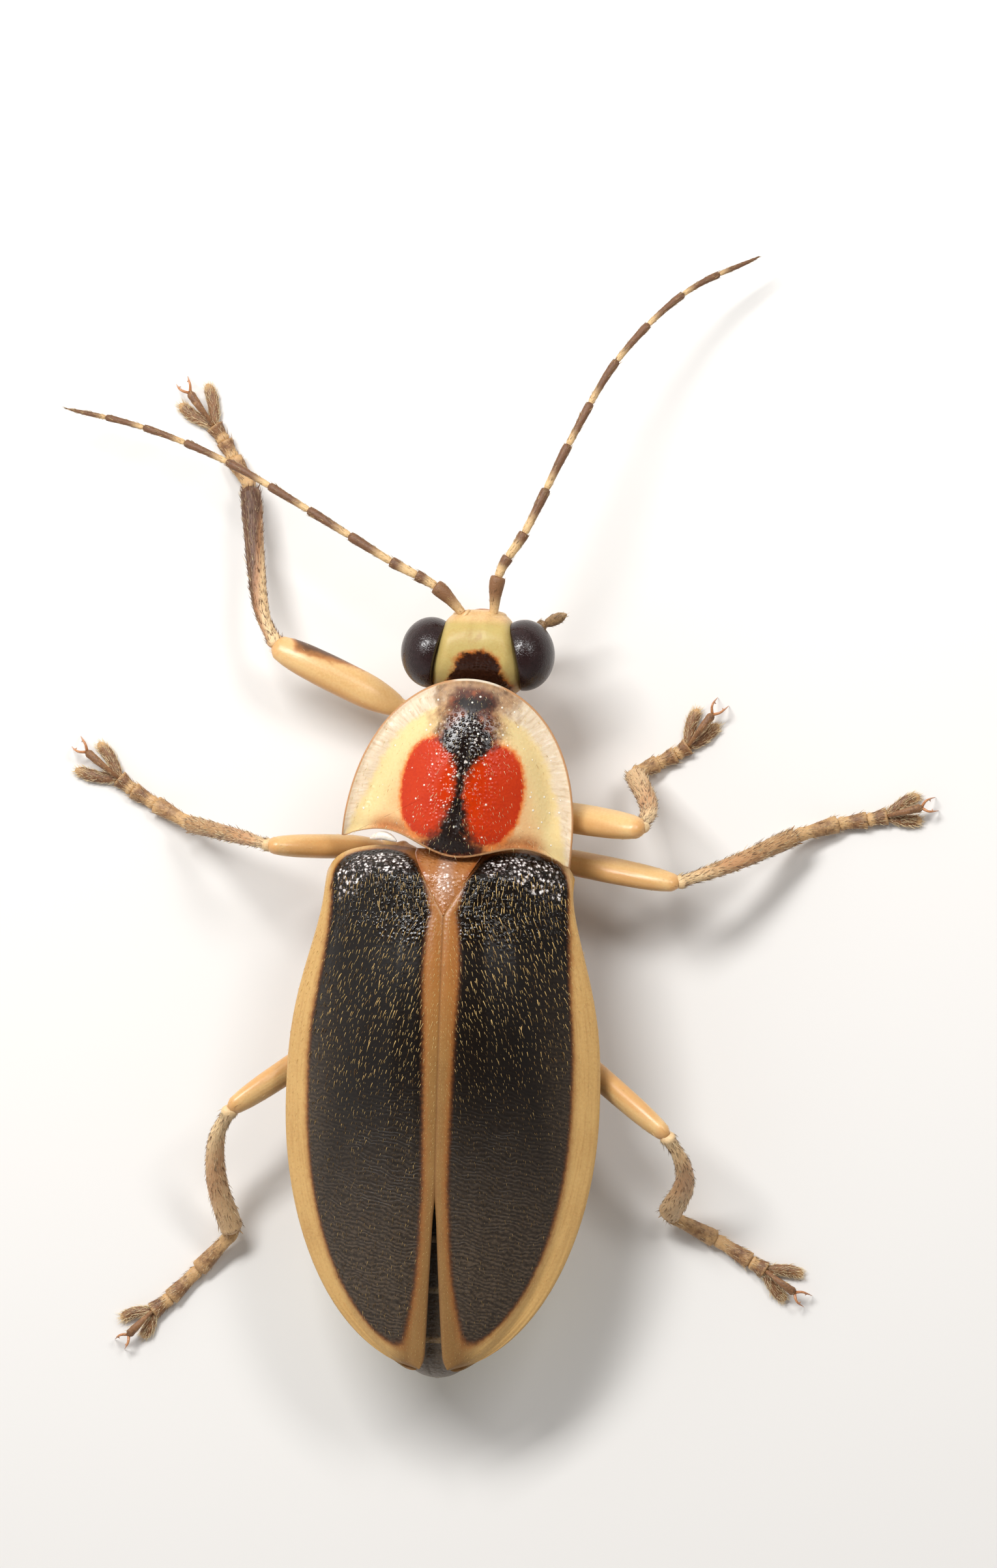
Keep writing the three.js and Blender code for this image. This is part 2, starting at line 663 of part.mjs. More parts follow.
function thorax() {
  const rings = THORAX_SECTIONS.map(([y, halfWidth, belly]) =>
    bodyRing(y, halfWidth, ABDOMEN_EDGE_Z, belly, (x) => underCase(x, y) - 0.02, 24));
  const coxae = ['middle_left', 'middle_right', 'hind_left', 'hind_right'].map(coxa);
  return toGeometry(cut(join([loft(rings), ...coxae]), [shieldPlate(SEAM), scutellumSeat()]));
}

// Room under the scutellum.
function scutellumSeat() {
  const depth = SCUTELLUM_THICKNESS + SEAM + 0.1;
  const block = new THREE.BoxGeometry(2 * SCUTELLUM_HALF_WIDTH + 4 * SEAM, 1.4, depth);
  block.translate(0, -0.6, SCUTELLUM_TOP_Z - SCUTELLUM_THICKNESS - SEAM + depth / 2);
  return block;
}

const abdomenShare = (y) => (ABDOMEN_FRONT_Y - y) / (ABDOMEN_FRONT_Y - ABDOMEN_TIP_Y);

// The abdomen narrows to its tip and stays inside the outline of the wing cases.
function abdomenHalfWidth(y) {
  const narrowed = ABDOMEN_HALF_WIDTH * Math.sqrt(Math.max(1 - abdomenShare(y) ** 3.2, 0.01));
  return Math.min(narrowed, Math.max(caseOuter(y) - 2 * SEAM, ABDOMEN_TIP_HALF_WIDTH));
}

// One ring of the abdomen, whose roof follows the wing cases.
function abdomenRing(y, swell) {
  const rear = abdomenShare(y);
  const belly = lerp(BELLY_Z, ABDOMEN_TIP_BELLY_Z, rear ** 3) + 0.9 * (1 - swell);
  const roof = (x) => Math.max(underCase(x, Math.max(y, ABDOMEN_CLOSE_Y)) - 0.03, ABDOMEN_EDGE_Z);
  const edge = lerp(ABDOMEN_EDGE_Z, ABDOMEN_TIP_EDGE_Z, rear);
  return bodyRing(y, abdomenHalfWidth(Math.max(y, ABDOMEN_CLOSE_Y)) * swell, edge, belly, roof);
}

// Rings of the abdomen from one segment border to another, each segment lapping the next.
function abdomenRings(firstY, lastY) {
  const rings = [];
  const count = Math.max(Math.round((firstY - lastY) / VENTRITE_LENGTH), 1);
  const length = (firstY - lastY) / count;
  for (let segment = 0; segment < count; segment += 1) {
    [[0.02, 0.955], [0.5, 0.985], [0.97, 1.0]].forEach(([along, swell]) => {
      const y = firstY - (segment + along) * length;
      rings.push(abdomenRing(y, swell));
    });
  }
  return rings;
}

// The end of the abdomen, which closes in a round.
function abdomenTip() {
  const steps = 6;
  const middleZ = (ABDOMEN_TIP_BELLY_Z + ABDOMEN_TIP_EDGE_Z) / 2;
  const rings = Array.from({ length: steps + 1 }, (_, step) => {
    const y = lerp(LANTERN_BACK_Y - SEAM, ABDOMEN_TIP_Y, Math.sin((step / steps) * Math.PI / 2));
    const closing = Math.max((ABDOMEN_CLOSE_Y - y) / (ABDOMEN_CLOSE_Y - ABDOMEN_TIP_Y), 0);
    const size = Math.max(Math.sqrt(1 - closing ** 2), 0.12);
    const middle = v3(0, y, middleZ);
    return abdomenRing(y, 1).map((point) => point.sub(middle).multiplyScalar(size).add(middle));
  });
  return loft(rings);
}

// Trochanter and femur, which move as one.
function femurStations(leg) {
  const { hip, knee } = LEGS[leg];
  const at = (share) => hip.clone().lerp(knee, share);
  return [
    station(at(0), 0.15),
    station(at(0.1), 0.22),
    station(at(0.16), 0.2),
    station(at(0.36), FEMUR_RADIUS),
    station(at(0.6), FEMUR_RADIUS),
    station(at(0.85), 0.235),
    station(at(0.97), 0.21),
    station(at(1.03), 0.13),
  ];
}

function femur(leg) {
  const clearance = limb(grown(coxaStations(leg), SEAM), 10);
  return toGeometry(cut(toSolid(limb(femurStations(leg), 10)), [clearance]));
}

function spur(root, direction) {
  const tip = root.clone().addScaledVector(direction, SPUR_LENGTH);
  return limb([station(root, 0.07), station(tip, 0.02)], 5);
}

function tibiaRoute(leg) {
  const { knee, shin, ankle } = LEGS[leg];
  return new THREE.CatmullRomCurve3([knee, ...shin, ankle]);
}

function tibiaStations(leg) {
  const route = tibiaRoute(leg);
  const steps = 7;
  const stations = [];
  for (let step = 0; step <= steps; step += 1) {
    const share = lerp(0.05, 0.97, step / steps);
    stations.push(station(route.getPointAt(share), lerp(TIBIA_KNEE_RADIUS, TIBIA_ANKLE_RADIUS, share)));
  }
  stations.push(station(route.getPointAt(1), 0.17));
  return stations;
}

function tibia(leg) {
  const route = tibiaRoute(leg);
  const along = route.getTangentAt(1);
  const side = v3(0, 0, 0).crossVectors(along, v3(0, 0, 1)).normalize();
  const spurs = [-1, 1].map((turn) => {
    const root = route.getPointAt(0.93).addScaledVector(side, turn * 0.17);
    const direction = along.clone().addScaledVector(side, turn * 0.9);
    direction.z = Math.max(direction.z, -0.1);
    return spur(root, direction.normalize());
  });
  const clearance = limb(grown(femurStations(leg), SEAM), 10);
  return toGeometry(cut(join([limb(tibiaStations(leg), 8), ...spurs]), [clearance, belowFloor()]));
}

// Foot: three short segments, a fourth with two lobes, and the claw segment.
function tarsus(leg) {
  const { ankle, foot, lobes, claws } = LEGS[leg];
  const joints = [ankle.clone().setZ(foot[0].z + 0.1), ...foot];
  const pieces = foot.map((end, place) => {
    const begin = joints[place];
    const at = (share) => begin.clone().lerp(end, share);
    return limb([
      station(at(place === 0 ? 0 : -0.25), TARSUS_RADIUS * 0.72),
      station(at(0.8), TARSUS_RADIUS),
      station(at(1.08), TARSUS_RADIUS * 0.85),
    ], 7);
  });
  const fork = foot[2];
  lobes.forEach((tip) => {
    const at = (share) => fork.clone().lerp(tip, share);
    pieces.push(limb([
      station(at(-0.05), LOBE_RADIUS * 0.9),
      station(at(0.5), LOBE_RADIUS),
      station(at(0.85), LOBE_RADIUS * 0.9),
      station(at(1), LOBE_RADIUS * 0.4),
    ], 6));
  });
  const stalk = fork.clone().lerp(claws, 0.5).add(v3(0, 0, 0.05));
  const clawRoot = fork.clone().lerp(claws, 0.82);
  pieces.push(limb([station(fork, 0.12), station(stalk, 0.12), station(clawRoot, 0.13)], 6));
  const along = claws.clone().sub(fork).setZ(0).normalize();
  const side = v3(-along.y, along.x, 0);
  [-1, 1].forEach((turn) => {
    const bend = claws.clone().addScaledVector(side, turn * 0.13).setZ(0.24);
    const tip = claws.clone().addScaledVector(side, turn * 0.17).addScaledVector(along, 0.1).setZ(0.06);
    const root = clawRoot.clone().addScaledVector(side, turn * 0.04);
    pieces.push(limb([station(root, CLAW_RADIUS), station(bend, CLAW_RADIUS), station(tip, 0.025)], 4));
  });
  const clearance = limb(grown(tibiaStations(leg), SEAM), 8);
  return toGeometry(cut(join(pieces), [clearance, belowFloor()]));
}

function piece(name, geometry, material) {
  const mesh = new THREE.Mesh(geometry, material);
  mesh.name = name;
  return mesh;
}

function makeFirefly() {
  const animal = new THREE.Group();
  const add = (name, geometry, material) => animal.add(piece(name, geometry, material));
  const sides = { left: -1, right: 1 };
  add('head', head(), MATERIALS.head);
  add('pronotum', shieldPlate(0), MATERIALS.shield);
  add('prothorax', prothorax(), MATERIALS.body);
  add('scutellum', scutellum(), MATERIALS.scutellum);
  add('thorax', thorax(), MATERIALS.body);
  add('abdomen', loft(abdomenRings(ABDOMEN_FRONT_Y - SEAM, LANTERN_FRONT_Y)), MATERIALS.body);
  add('lantern', loft(abdomenRings(LANTERN_FRONT_Y - SEAM, LANTERN_BACK_Y)), MATERIALS.lantern);
  add('abdomen_tip', abdomenTip(), MATERIALS.body);
  Object.entries(sides).forEach(([side, sign]) => {
    const eye = cut(toSolid(eyeBall(sign, 0)), [shieldPlate(SEAM)]);
    add(`eye_${side}`, toGeometry(eye), MATERIALS.eye);
    add(`antenna_${side}`, antenna(side), MATERIALS.antenna);
    add(`palp_${side}`, palp(side), MATERIALS.palp);
    const cover = cut(toSolid(wingCase(sign)), [shieldPlate(SEAM)]);
    add(`elytron_${side}`, toGeometry(cover), MATERIALS.wingCase);
  });
  Object.keys(LEGS).forEach((leg) => {
    add(`femur_${leg}`, femur(leg), MATERIALS.limb);
    add(`tibia_${leg}`, tibia(leg), MATERIALS.shin);
    add(`tarsus_${leg}`, tarsus(leg), MATERIALS.shin);
  });
  return animal;
}

// The origin is the middle of the animal's box, on the floor.
const firefly = makeFirefly();
const box = new THREE.Box3().setFromObject(firefly);
const middle = box.getCenter(new THREE.Vector3());
firefly.position.set(-middle.x, -middle.y, -box.min.z);
firefly.updateMatrixWorld(true);

export default firefly;
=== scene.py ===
import math

import bpy
import numpy as np
from mathutils import Matrix, Vector


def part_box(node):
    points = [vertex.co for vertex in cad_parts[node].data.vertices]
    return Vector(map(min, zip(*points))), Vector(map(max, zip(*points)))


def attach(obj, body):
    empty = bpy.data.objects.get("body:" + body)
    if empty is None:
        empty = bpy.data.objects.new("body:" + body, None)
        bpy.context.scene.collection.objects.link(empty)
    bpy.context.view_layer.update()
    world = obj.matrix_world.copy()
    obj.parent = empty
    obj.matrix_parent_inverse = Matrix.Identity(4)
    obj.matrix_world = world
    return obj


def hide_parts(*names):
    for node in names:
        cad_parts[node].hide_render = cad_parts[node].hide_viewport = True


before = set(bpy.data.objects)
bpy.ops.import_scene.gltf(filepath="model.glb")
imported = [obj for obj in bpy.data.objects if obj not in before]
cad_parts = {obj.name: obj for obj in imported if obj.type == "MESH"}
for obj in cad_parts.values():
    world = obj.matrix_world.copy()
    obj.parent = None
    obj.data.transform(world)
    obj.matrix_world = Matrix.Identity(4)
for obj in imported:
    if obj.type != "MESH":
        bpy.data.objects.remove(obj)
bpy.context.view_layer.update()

# The animal is drawn in its own millimetres: x = 0 is the line between the wing cases,
# y = 0 the hind edge of the pronotum, z = 0 the floor. place() takes that to the frame.
MM = 0.001
SCUTELLUM_TIP = -0.88
low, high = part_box("scutellum")
ORIGIN = np.array([(low.x + high.x) / 2, low.y - SCUTELLUM_TIP * MM, 0.0])
UP = np.array([0.0, 0.0, 1.0])


def place(points):
    return np.asarray(points, float) * MM + ORIGIN


def show(name, data):
    shown = bpy.data.objects.new(name, data)
    bpy.context.scene.collection.objects.link(shown)
    return shown


# Camera and light

PHOTO_HEIGHT = 2406
SENSOR = 36.0
PIXEL = 0.011154
DISTANCE = 158.0
TILT = math.radians(5.0)
ROLL = math.radians(1.8)
AIM = np.array([0.765, 1.196, 2.0])


def add_camera():
    """A camera that looks down at the floor, tilted and rolled like the photo's."""
    across = np.array([math.cos(ROLL), math.sin(ROLL), 0.0])
    up = np.array([-math.sin(ROLL), math.cos(ROLL), 0.0])
    back = across * math.sin(TILT) + UP * math.cos(TILT)
    right = across * math.cos(TILT) - UP * math.sin(TILT)
    data = bpy.data.cameras.new("camera")
    data.sensor_width = SENSOR
    data.lens = SENSOR * (DISTANCE / PIXEL) / PHOTO_HEIGHT
    data.clip_start = 0.01
    camera = show("camera", data)
    turn = Matrix((Vector(right), Vector(up), Vector(back))).transposed().to_4x4()
    turn.translation = Vector(place(AIM + back * DISTANCE))
    camera.matrix_world = turn
    bpy.context.scene.camera = camera


def add_softbox(name, towards, distance, wide, high, power):
    """An oblong lamp that hangs in the given direction from the animal and faces it."""
    data = bpy.data.lights.new(name, "AREA")
    data.shape = "RECTANGLE"
    data.size = wide * MM
    data.size_y = high * MM
    data.energy = power
    lamp = show(name, data)
    direction = Vector(towards).normalized()
    lamp.location = Vector(place((0, -1, 2))) + direction * distance * MM
    lamp.rotation_euler = direction.to_track_quat("Z", "Y").to_euler()


def add_sky():
    """A white studio all round, dimmer straight overhead, so that dark gloss stays dark on top."""
    world = bpy.data.worlds.new("studio")
    bpy.context.scene.world = world
    world.use_nodes = True
    tree = world.node_tree
    where = put(tree, "ShaderNodeTexCoord").outputs["Generated"]
    parts = put(tree, "ShaderNodeSeparateXYZ", {"Vector": where}).outputs
    overhead = eased(tree, parts["Z"], 0.99, 0.55, 0.06, 0.62)
    sideways = put(tree, "ShaderNodeMapRange", {
        "Value": parts["X"], "From Min": -0.7, "From Max": 0.7, "To Min": 1.2, "To Max": 0.5,
    }).outputs["Result"]
    sky = tree.nodes["Background"]
    sky.inputs["Color"].default_value = (1.0, 0.99, 0.98, 1.0)
    feed(tree, sky.inputs["Strength"], sums(tree, "MULTIPLY", overhead, sideways))


def add_lights():
    add_softbox("softbox_head_left", (-0.4, 0.64, 1.0), 70, 38, 14, 0.045)
    add_softbox("softbox_head_right", (0.55, 0.62, 1.0), 70, 28, 13, 0.014)
    add_sky()
    view = bpy.context.scene.view_settings
    view.view_transform = "Standard"
    view.look = "None"


# Small tools for numbers and curves


def smooth(value, start, end):
    share = np.clip((np.asarray(value, float) - start) / (end - start), 0, 1)
    return share * share * (3 - 2 * share)


def mix(a, b, share):
    return a + (b - a) * share


def unit(vectors):
    length = np.linalg.norm(vectors, axis=-1, keepdims=True)
    return vectors / np.maximum(length, 1e-12)


def bell(value, centre, width):
    return np.exp(-(((np.asarray(value, float) - centre) / width) ** 2))


def travelled(path):
    """How far along a path each of its points lies."""
    steps = np.linalg.norm(np.diff(path, axis=0), axis=1)
    return np.concatenate([[0], np.cumsum(steps)])


def read_rows(wanted, places, rows):
    return np.stack([np.interp(wanted, places, rows[:, k]) for k in range(3)], 1)


def curve_through(points, count):
    """Evenly spaced places on a smooth curve through the points."""
    points = np.asarray(points, float)
    ends = np.vstack([2 * points[0] - points[1], points, 2 * points[-1] - points[-2]])
    fine = []
    for i in range(1, len(ends) - 2):
        t = np.linspace(0, 1, 40, endpoint=False)[:, None]
        a, b, c, d = ends[i - 1], ends[i], ends[i + 1], ends[i + 2]
        bend = (2 * a - 5 * b + 4 * c - d) * t**2 + (3 * b - a - 3 * c + d) * t**3
        fine.append(0.5 * (2 * b + (c - a) * t + bend))
    fine = np.vstack(fine + [points[-1:]])
    reach = travelled(fine)
    return read_rows(np.linspace(0, reach[-1], count), reach, fine)


def distance_to(x, y, line_x, line_y):
    """The shortest way in plan from each place to a row of points."""
    flat = np.stack([x.ravel(), y.ravel()], 1)
    line = np.stack([line_x, line_y], 1)
    nearest = [np.hypot(*(flat[k : k + 4000, None, :] - line[None]).transpose(2, 0, 1)).min(1)
               for k in range(0, len(flat), 4000)]
    return np.concatenate(nearest).reshape(x.shape)


def profile(share, table):
    """A smooth value read from a table of (share, value) rows."""
    places, values = np.array(table, float).T
    slopes = np.gradient(values, places)
    share = np.clip(np.asarray(share, float), places[0], places[-1])
    i = np.clip(np.searchsorted(places, share) - 1, 0, len(places) - 2)
    width = places[i + 1] - places[i]
    t = (share - places[i]) / width
    start = (1 + 2 * t) * (1 - t) ** 2 * values[i] + t * (1 - t) ** 2 * width * slopes[i]
    end = t**2 * (3 - 2 * t) * values[i + 1] + t**2 * (t - 1) * width * slopes[i + 1]
    return start + end


def round_steps(rounds):
    """How far down and how far out each step of a rounded edge lies, on a wall 1 thick."""
    turns = [math.pi * k / (rounds + 1) for k in range(1, rounds + 1)]
    return [(0.5 - 0.5 * math.cos(turn), 0.5 * math.sin(turn)) for turn in turns]


def circle_of(sides, start=0.0):
    """Cosines and sines of evenly spaced turns."""
    turn = (np.arange(sides) + start) / sides * 2 * math.pi
    return np.cos(turn), np.sin(turn)


def uneven(x, y, seed, scale=1.0):
    """Smooth, irregular numbers between about -1 and 1 over a surface."""
    draw = np.random.default_rng(seed)
    total = 0.0
    for _ in range(9):
        angle, phase, pace = draw.random(3) * (2 * math.pi, 2 * math.pi, 1.0)
        pace = scale * (0.6 + 1.6 * pace)
        total = total + np.sin((x * math.cos(angle) + y * math.sin(angle)) * pace * 2 * math.pi + phase)
    return total / 5.0


# Closed shells: points, quads, triangles, and named values at each point


def shell(points, quads, triangles, **values):
    """A closed surface whose faces are turned to point outwards."""
    points = np.asarray(points, float).reshape(-1, 3)
    quads = np.asarray(quads, int).reshape(-1, 4)
    triangles = np.asarray(triangles, int).reshape(-1, 3)
    halves = np.vstack([quads[:, [0, 1, 2]], quads[:, [0, 2, 3]], triangles])
    a, b, c = (points[halves[:, k]] - points.mean(0) for k in range(3))
    if np.einsum("ij,ij->i", a, np.cross(b, c)).sum() < 0:
        quads, triangles = quads[:, ::-1], triangles[:, ::-1]
    values = {name: np.broadcast_to(value, len(points)).astype(float) for name, value in values.items()}
    return {"points": points, "quads": quads, "triangles": triangles, "values": values}


def ring_shell(rings, **values):
    """A body through rings of points, with its two ends closed to their middles."""
    rings = np.asarray(rings, float)
    rows, columns = rings.shape[:2]
    row, column = np.meshgrid(np.arange(rows - 1), np.arange(columns), indexing="ij")
    a = row * columns + column
    b = row * columns + (column + 1) % columns
    quads = np.stack([a, b, b + columns, a + columns], -1).reshape(-1, 4)
    first, last = rows * columns, rows * columns + 1
    side = np.arange(columns)
    nearer = (side + 1) % columns
    tail = (rows - 1) * columns
    start_cap = np.stack([np.full(columns, first), nearer, side], 1)
    end_cap = np.stack([np.full(columns, last), tail + side, tail + nearer], 1)
    points = np.vstack([rings.reshape(-1, 3), rings[0].mean(0), rings[-1].mean(0)])
    spread = {}
    for name, value in values.items():
        value = np.asarray(value, float)
        if value.ndim == 1:
            value = np.repeat(value[:, None], columns, 1)
        value = np.broadcast_to(value, (rows, columns))
        spread[name] = np.concatenate([value.ravel(), [value[0].mean(), value[-1].mean()]])
    return shell(points, quads, np.vstack([start_cap, end_cap]), **spread)


def frames_along(centres, up):
    """Directions along, beside and above a path, carried along it without twisting."""
    along = unit(np.gradient(centres, axis=0))
    above = np.zeros_like(along)
    current = np.asarray(up, float)
    for i, direction in enumerate(along):
        current = current - direction * np.dot(current, direction)
        current = current / np.linalg.norm(current)
        above[i] = current
    return along, np.cross(along, above), above


def tube(centres, wide, tall, sides=20, up=(0, 0, 1), **values):
    """A limb of oval section round a path."""
    centres = np.asarray(centres, float)
    _, beside, above = frames_along(centres, up)
    cosine, sine = circle_of(sides, 0.5)
    wide = np.broadcast_to(wide, len(centres))[:, None, None]
    tall = np.broadcast_to(tall, len(centres))[:, None, None]
    offsets = wide * beside[:, None] * cosine[None, :, None] + tall * above[:, None] * sine[None, :, None]
    return ring_shell(centres[:, None] + offsets, **values)


def ball(centre, radii, around=40, along=24):
    """An egg-shaped shell whose poles lie above and below."""
    fall = np.linspace(0.04, math.pi - 0.04, along)[:, None]
    cosine, sine = circle_of(around)
    height = np.repeat(np.cos(fall), around, 1)
    sphere = np.stack([np.sin(fall) * cosine, np.sin(fall) * sine, height], -1)
    return ring_shell(np.asarray(centre) + sphere * np.asarray(radii))


def gather(shells):
    """Several shells as one, with every named value on all of them."""
    counts = [len(piece["points"]) for piece in shells]
    starts = np.cumsum([0] + counts[:-1])
    body = {"points": np.vstack([piece["points"] for piece in shells]), "values": {}}
    for faces in ("quads", "triangles"):
        body[faces] = np.vstack([piece[faces] + start for piece, start in zip(shells, starts)])
    for name in sorted({name for piece in shells for name in piece["values"]}):
        parts = [piece["values"].get(name, np.zeros(count)) for piece, count in zip(shells, counts)]
        body["values"][name] = np.concatenate(parts)
    return body


def set_values(mesh, label, values):
    layer = mesh.attributes.new(label, "FLOAT", "POINT")
    layer.data.foreach_set("value", values.astype(np.float32))


def make_piece(name, body, material):
    """One Blender object at the origin, with its place in its mesh."""
    mesh = bpy.data.meshes.new(name)
    faces = body["quads"].tolist() + body["triangles"].tolist()
    mesh.from_pydata(place(body["points"]).tolist(), [], faces)
    for label, value in body["values"].items():
        set_values(mesh, label, value)
    mesh.materials.append(material)
    mesh.shade_smooth()
    return show(name, mesh)


def settle(piece, slot, *nodes):
    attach(piece, "root")
    if nodes:
        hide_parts(*nodes)


# Shader tools


def feed(tree, socket, value):
    """Links a socket to another one, or sets it to a fixed value."""
    if isinstance(value, bpy.types.NodeSocket):
        tree.links.new(value, socket)
    else:
        socket.default_value = value


def put(tree, kind, inputs=None, **settings):
    """Adds a node, sets its properties, and sets or links its inputs."""
    made = tree.nodes.new(kind)
    for name, value in settings.items():
        setattr(made, name, value)
    for name, value in (inputs or {}).items():
        feed(tree, made.inputs[name], value)
    return made


def live(sockets, name=None):
    """The first socket in use, or the one of that name: some nodes keep a set for each type."""
    return [socket for socket in sockets if socket.enabled and name in (None, socket.name)][0]


def start_group(name, kind, inputs, outputs):
    """A node group with named sockets, and its entry and exit nodes."""
    group = bpy.data.node_groups.new(name, kind)
    for label, socket, default in inputs:
        made = group.interface.new_socket(name=label, in_out="INPUT", socket_type=socket)
        if default is not None:
            made.default_value = default
    for label, socket in outputs:
        group.interface.new_socket(name=label, in_out="OUTPUT", socket_type=socket)
    return group, group.nodes.new("NodeGroupInput").outputs, group.nodes.new("NodeGroupOutput")


def millimetres(tree):
    """Object coordinates of a shader tree, in millimetres."""
    where = put(tree, "ShaderNodeTexCoord").outputs["Object"]
    scaled = put(tree, "ShaderNodeVectorMath", {0: where, "Scale": 1 / MM}, operation="SCALE")
    return scaled.outputs["Vector"]


def sums(tree, operation, a, b=None):
    inputs = {0: a} if b is None else {0: a, 1: b}
    return put(tree, "ShaderNodeMath", inputs, operation=operation).outputs["Value"]


def eased(tree, value, low, high, to_low=0.0, to_high=1.0):
    """A value whose low to high is spread over to_low to to_high, with soft ends."""
    return put(tree, "ShaderNodeMapRange", {
        "Value": value, "From Min": low, "From Max": high, "To Min": to_low, "To Max": to_high,
    }, interpolation_type="SMOOTHSTEP").outputs["Result"]


def noise_at(tree, where, scale, detail, **more):
    inputs = {"Vector": where, "Scale": scale, "Detail": detail, **more}
    return put(tree, "ShaderNodeTexNoise", inputs).outputs[0]


def blended(tree, a, b, share):
    """A mix of two colours, each a socket or a fixed colour."""
    mixed = put(tree, "ShaderNodeMix", data_type="RGBA")
    for name, value in (("Factor", share), ("A", a), ("B", b)):
        feed(tree, live(mixed.inputs, name), value)
    return live(mixed.outputs)


FLOAT = "NodeSocketFloat"
COLOUR = "NodeSocketColor"


def edge_group():
    """A mask that is 1 where a distance is above zero, with an uneven, soft edge."""
    group, given, ready = start_group(
        "uneven_edge", "ShaderNodeTree",
        [("Distance", FLOAT, 0.0), ("Wobble", FLOAT, 0.03),
         ("Grain", FLOAT, 9.0), ("Softness", FLOAT, 0.03)],
        [("Mask", FLOAT)],
    )
    noise = noise_at(group, millimetres(group), given["Grain"], 3.0, Roughness=0.6)
    centred = sums(group, "SUBTRACT", noise, 0.5)
    pushed = sums(group, "MULTIPLY", centred, given["Wobble"])
    doubled = sums(group, "MULTIPLY", pushed, 4.0)
    moved = sums(group, "ADD", doubled, given["Distance"])
    lower = sums(group, "MULTIPLY", given["Softness"], -1.0)
    feed(group, ready.inputs["Mask"], eased(group, moved, lower, given["Softness"]))
    return group


def mottle_group():
    """A colour that drifts lighter and darker over the surface, with fine specks."""
    group, given, ready = start_group(
        "mottled_cuticle", "ShaderNodeTree",
        [("Colour", COLOUR, (0.5, 0.5, 0.5, 1)), ("Shade", COLOUR, (0.2, 0.2, 0.2, 1)),
         ("Amount", FLOAT, 0.4), ("Scale", FLOAT, 2.0), ("Speck Scale", FLOAT, 30.0)],
        [("Colour", COLOUR)],
    )
    where = millimetres(group)
    broad = noise_at(group, where, given["Scale"], 4.0)
    fine = noise_at(group, where, given["Speck Scale"], 2.0)
    both = sums(group, "MULTIPLY", broad, fine)
    spread = put(group, "ShaderNodeMapRange", {"Value": both, "From Min": 0.12, "From Max": 0.42})
    share = sums(group, "MULTIPLY", spread.outputs["Result"], given["Amount"])
    feed(group, ready.inputs["Colour"], blended(group, given["Colour"], given["Shade"], share))
    return group


def granule_group():
    """Close-set granules or pits of the cuticle, as a height between 0 and 1."""
    group, given, ready = start_group(
        "granules", "ShaderNodeTree",
        [("Scale", FLOAT, 14.0), ("Fine", FLOAT, 0.3), ("Fine Scale", FLOAT, 60.0)],
        [("Height", FLOAT), ("Cell", FLOAT)],
    )
    where = millimetres(group)
    cells = put(group, "ShaderNodeTexVoronoi", {
        "Vector": where, "Scale": given["Scale"], "Randomness": 0.8,
    })
    round_top = eased(group, cells.outputs["Distance"], 0.6, 0.05)
    noise = noise_at(group, where, given["Fine Scale"], 2.0)
    small = sums(group, "MULTIPLY", noise, given["Fine"])
    feed(group, ready.inputs["Height"], sums(group, "ADD", round_top, small))
    feed(group, ready.inputs["Cell"], cells.outputs["Distance"])
    return group


def ripple_group():
    """Fine broken ripples that cross the wing cases, as a height between 0 and 1."""
    group, given, ready = start_group(
        "ripples", "ShaderNodeTree",
        [("Scale", FLOAT, 3.2), ("Slant", FLOAT, 0.25), ("Wander", FLOAT, 2.0)],
        [("Height", FLOAT)],
    )
    where = millimetres(group)
    parts = put(group, "ShaderNodeSeparateXYZ", {"Vector": where}).outputs
    slanted = sums(group, "MULTIPLY", parts["X"], given["Slant"])
    wander = sums(group, "MULTIPLY", noise_at(group, where, 2.5, 3.0), given["Wander"])
    depth = sums(group, "ADD", sums(group, "ADD", parts["Y"], slanted), wander)
    narrow = sums(group, "MULTIPLY", parts["X"], 0.2)
    along = put(group, "ShaderNodeCombineXYZ", {"X": narrow, "Y": depth})
    wave = put(group, "ShaderNodeTexWave", {
        "Vector": along.outputs["Vector"], "Scale": given["Scale"], "Distortion": 0.9,
        "Detail": 2.0, "Detail Scale": 3.0,
    }, bands_direction="Y")
    feed(group, ready.inputs["Height"], wave.outputs[1])
    return group


GLOW_SPREAD = (1.0, 0.55, 0.3)
EDGE, MOTTLE, GRANULES, RIPPLES = edge_group(), mottle_group(), granule_group(), ripple_group()


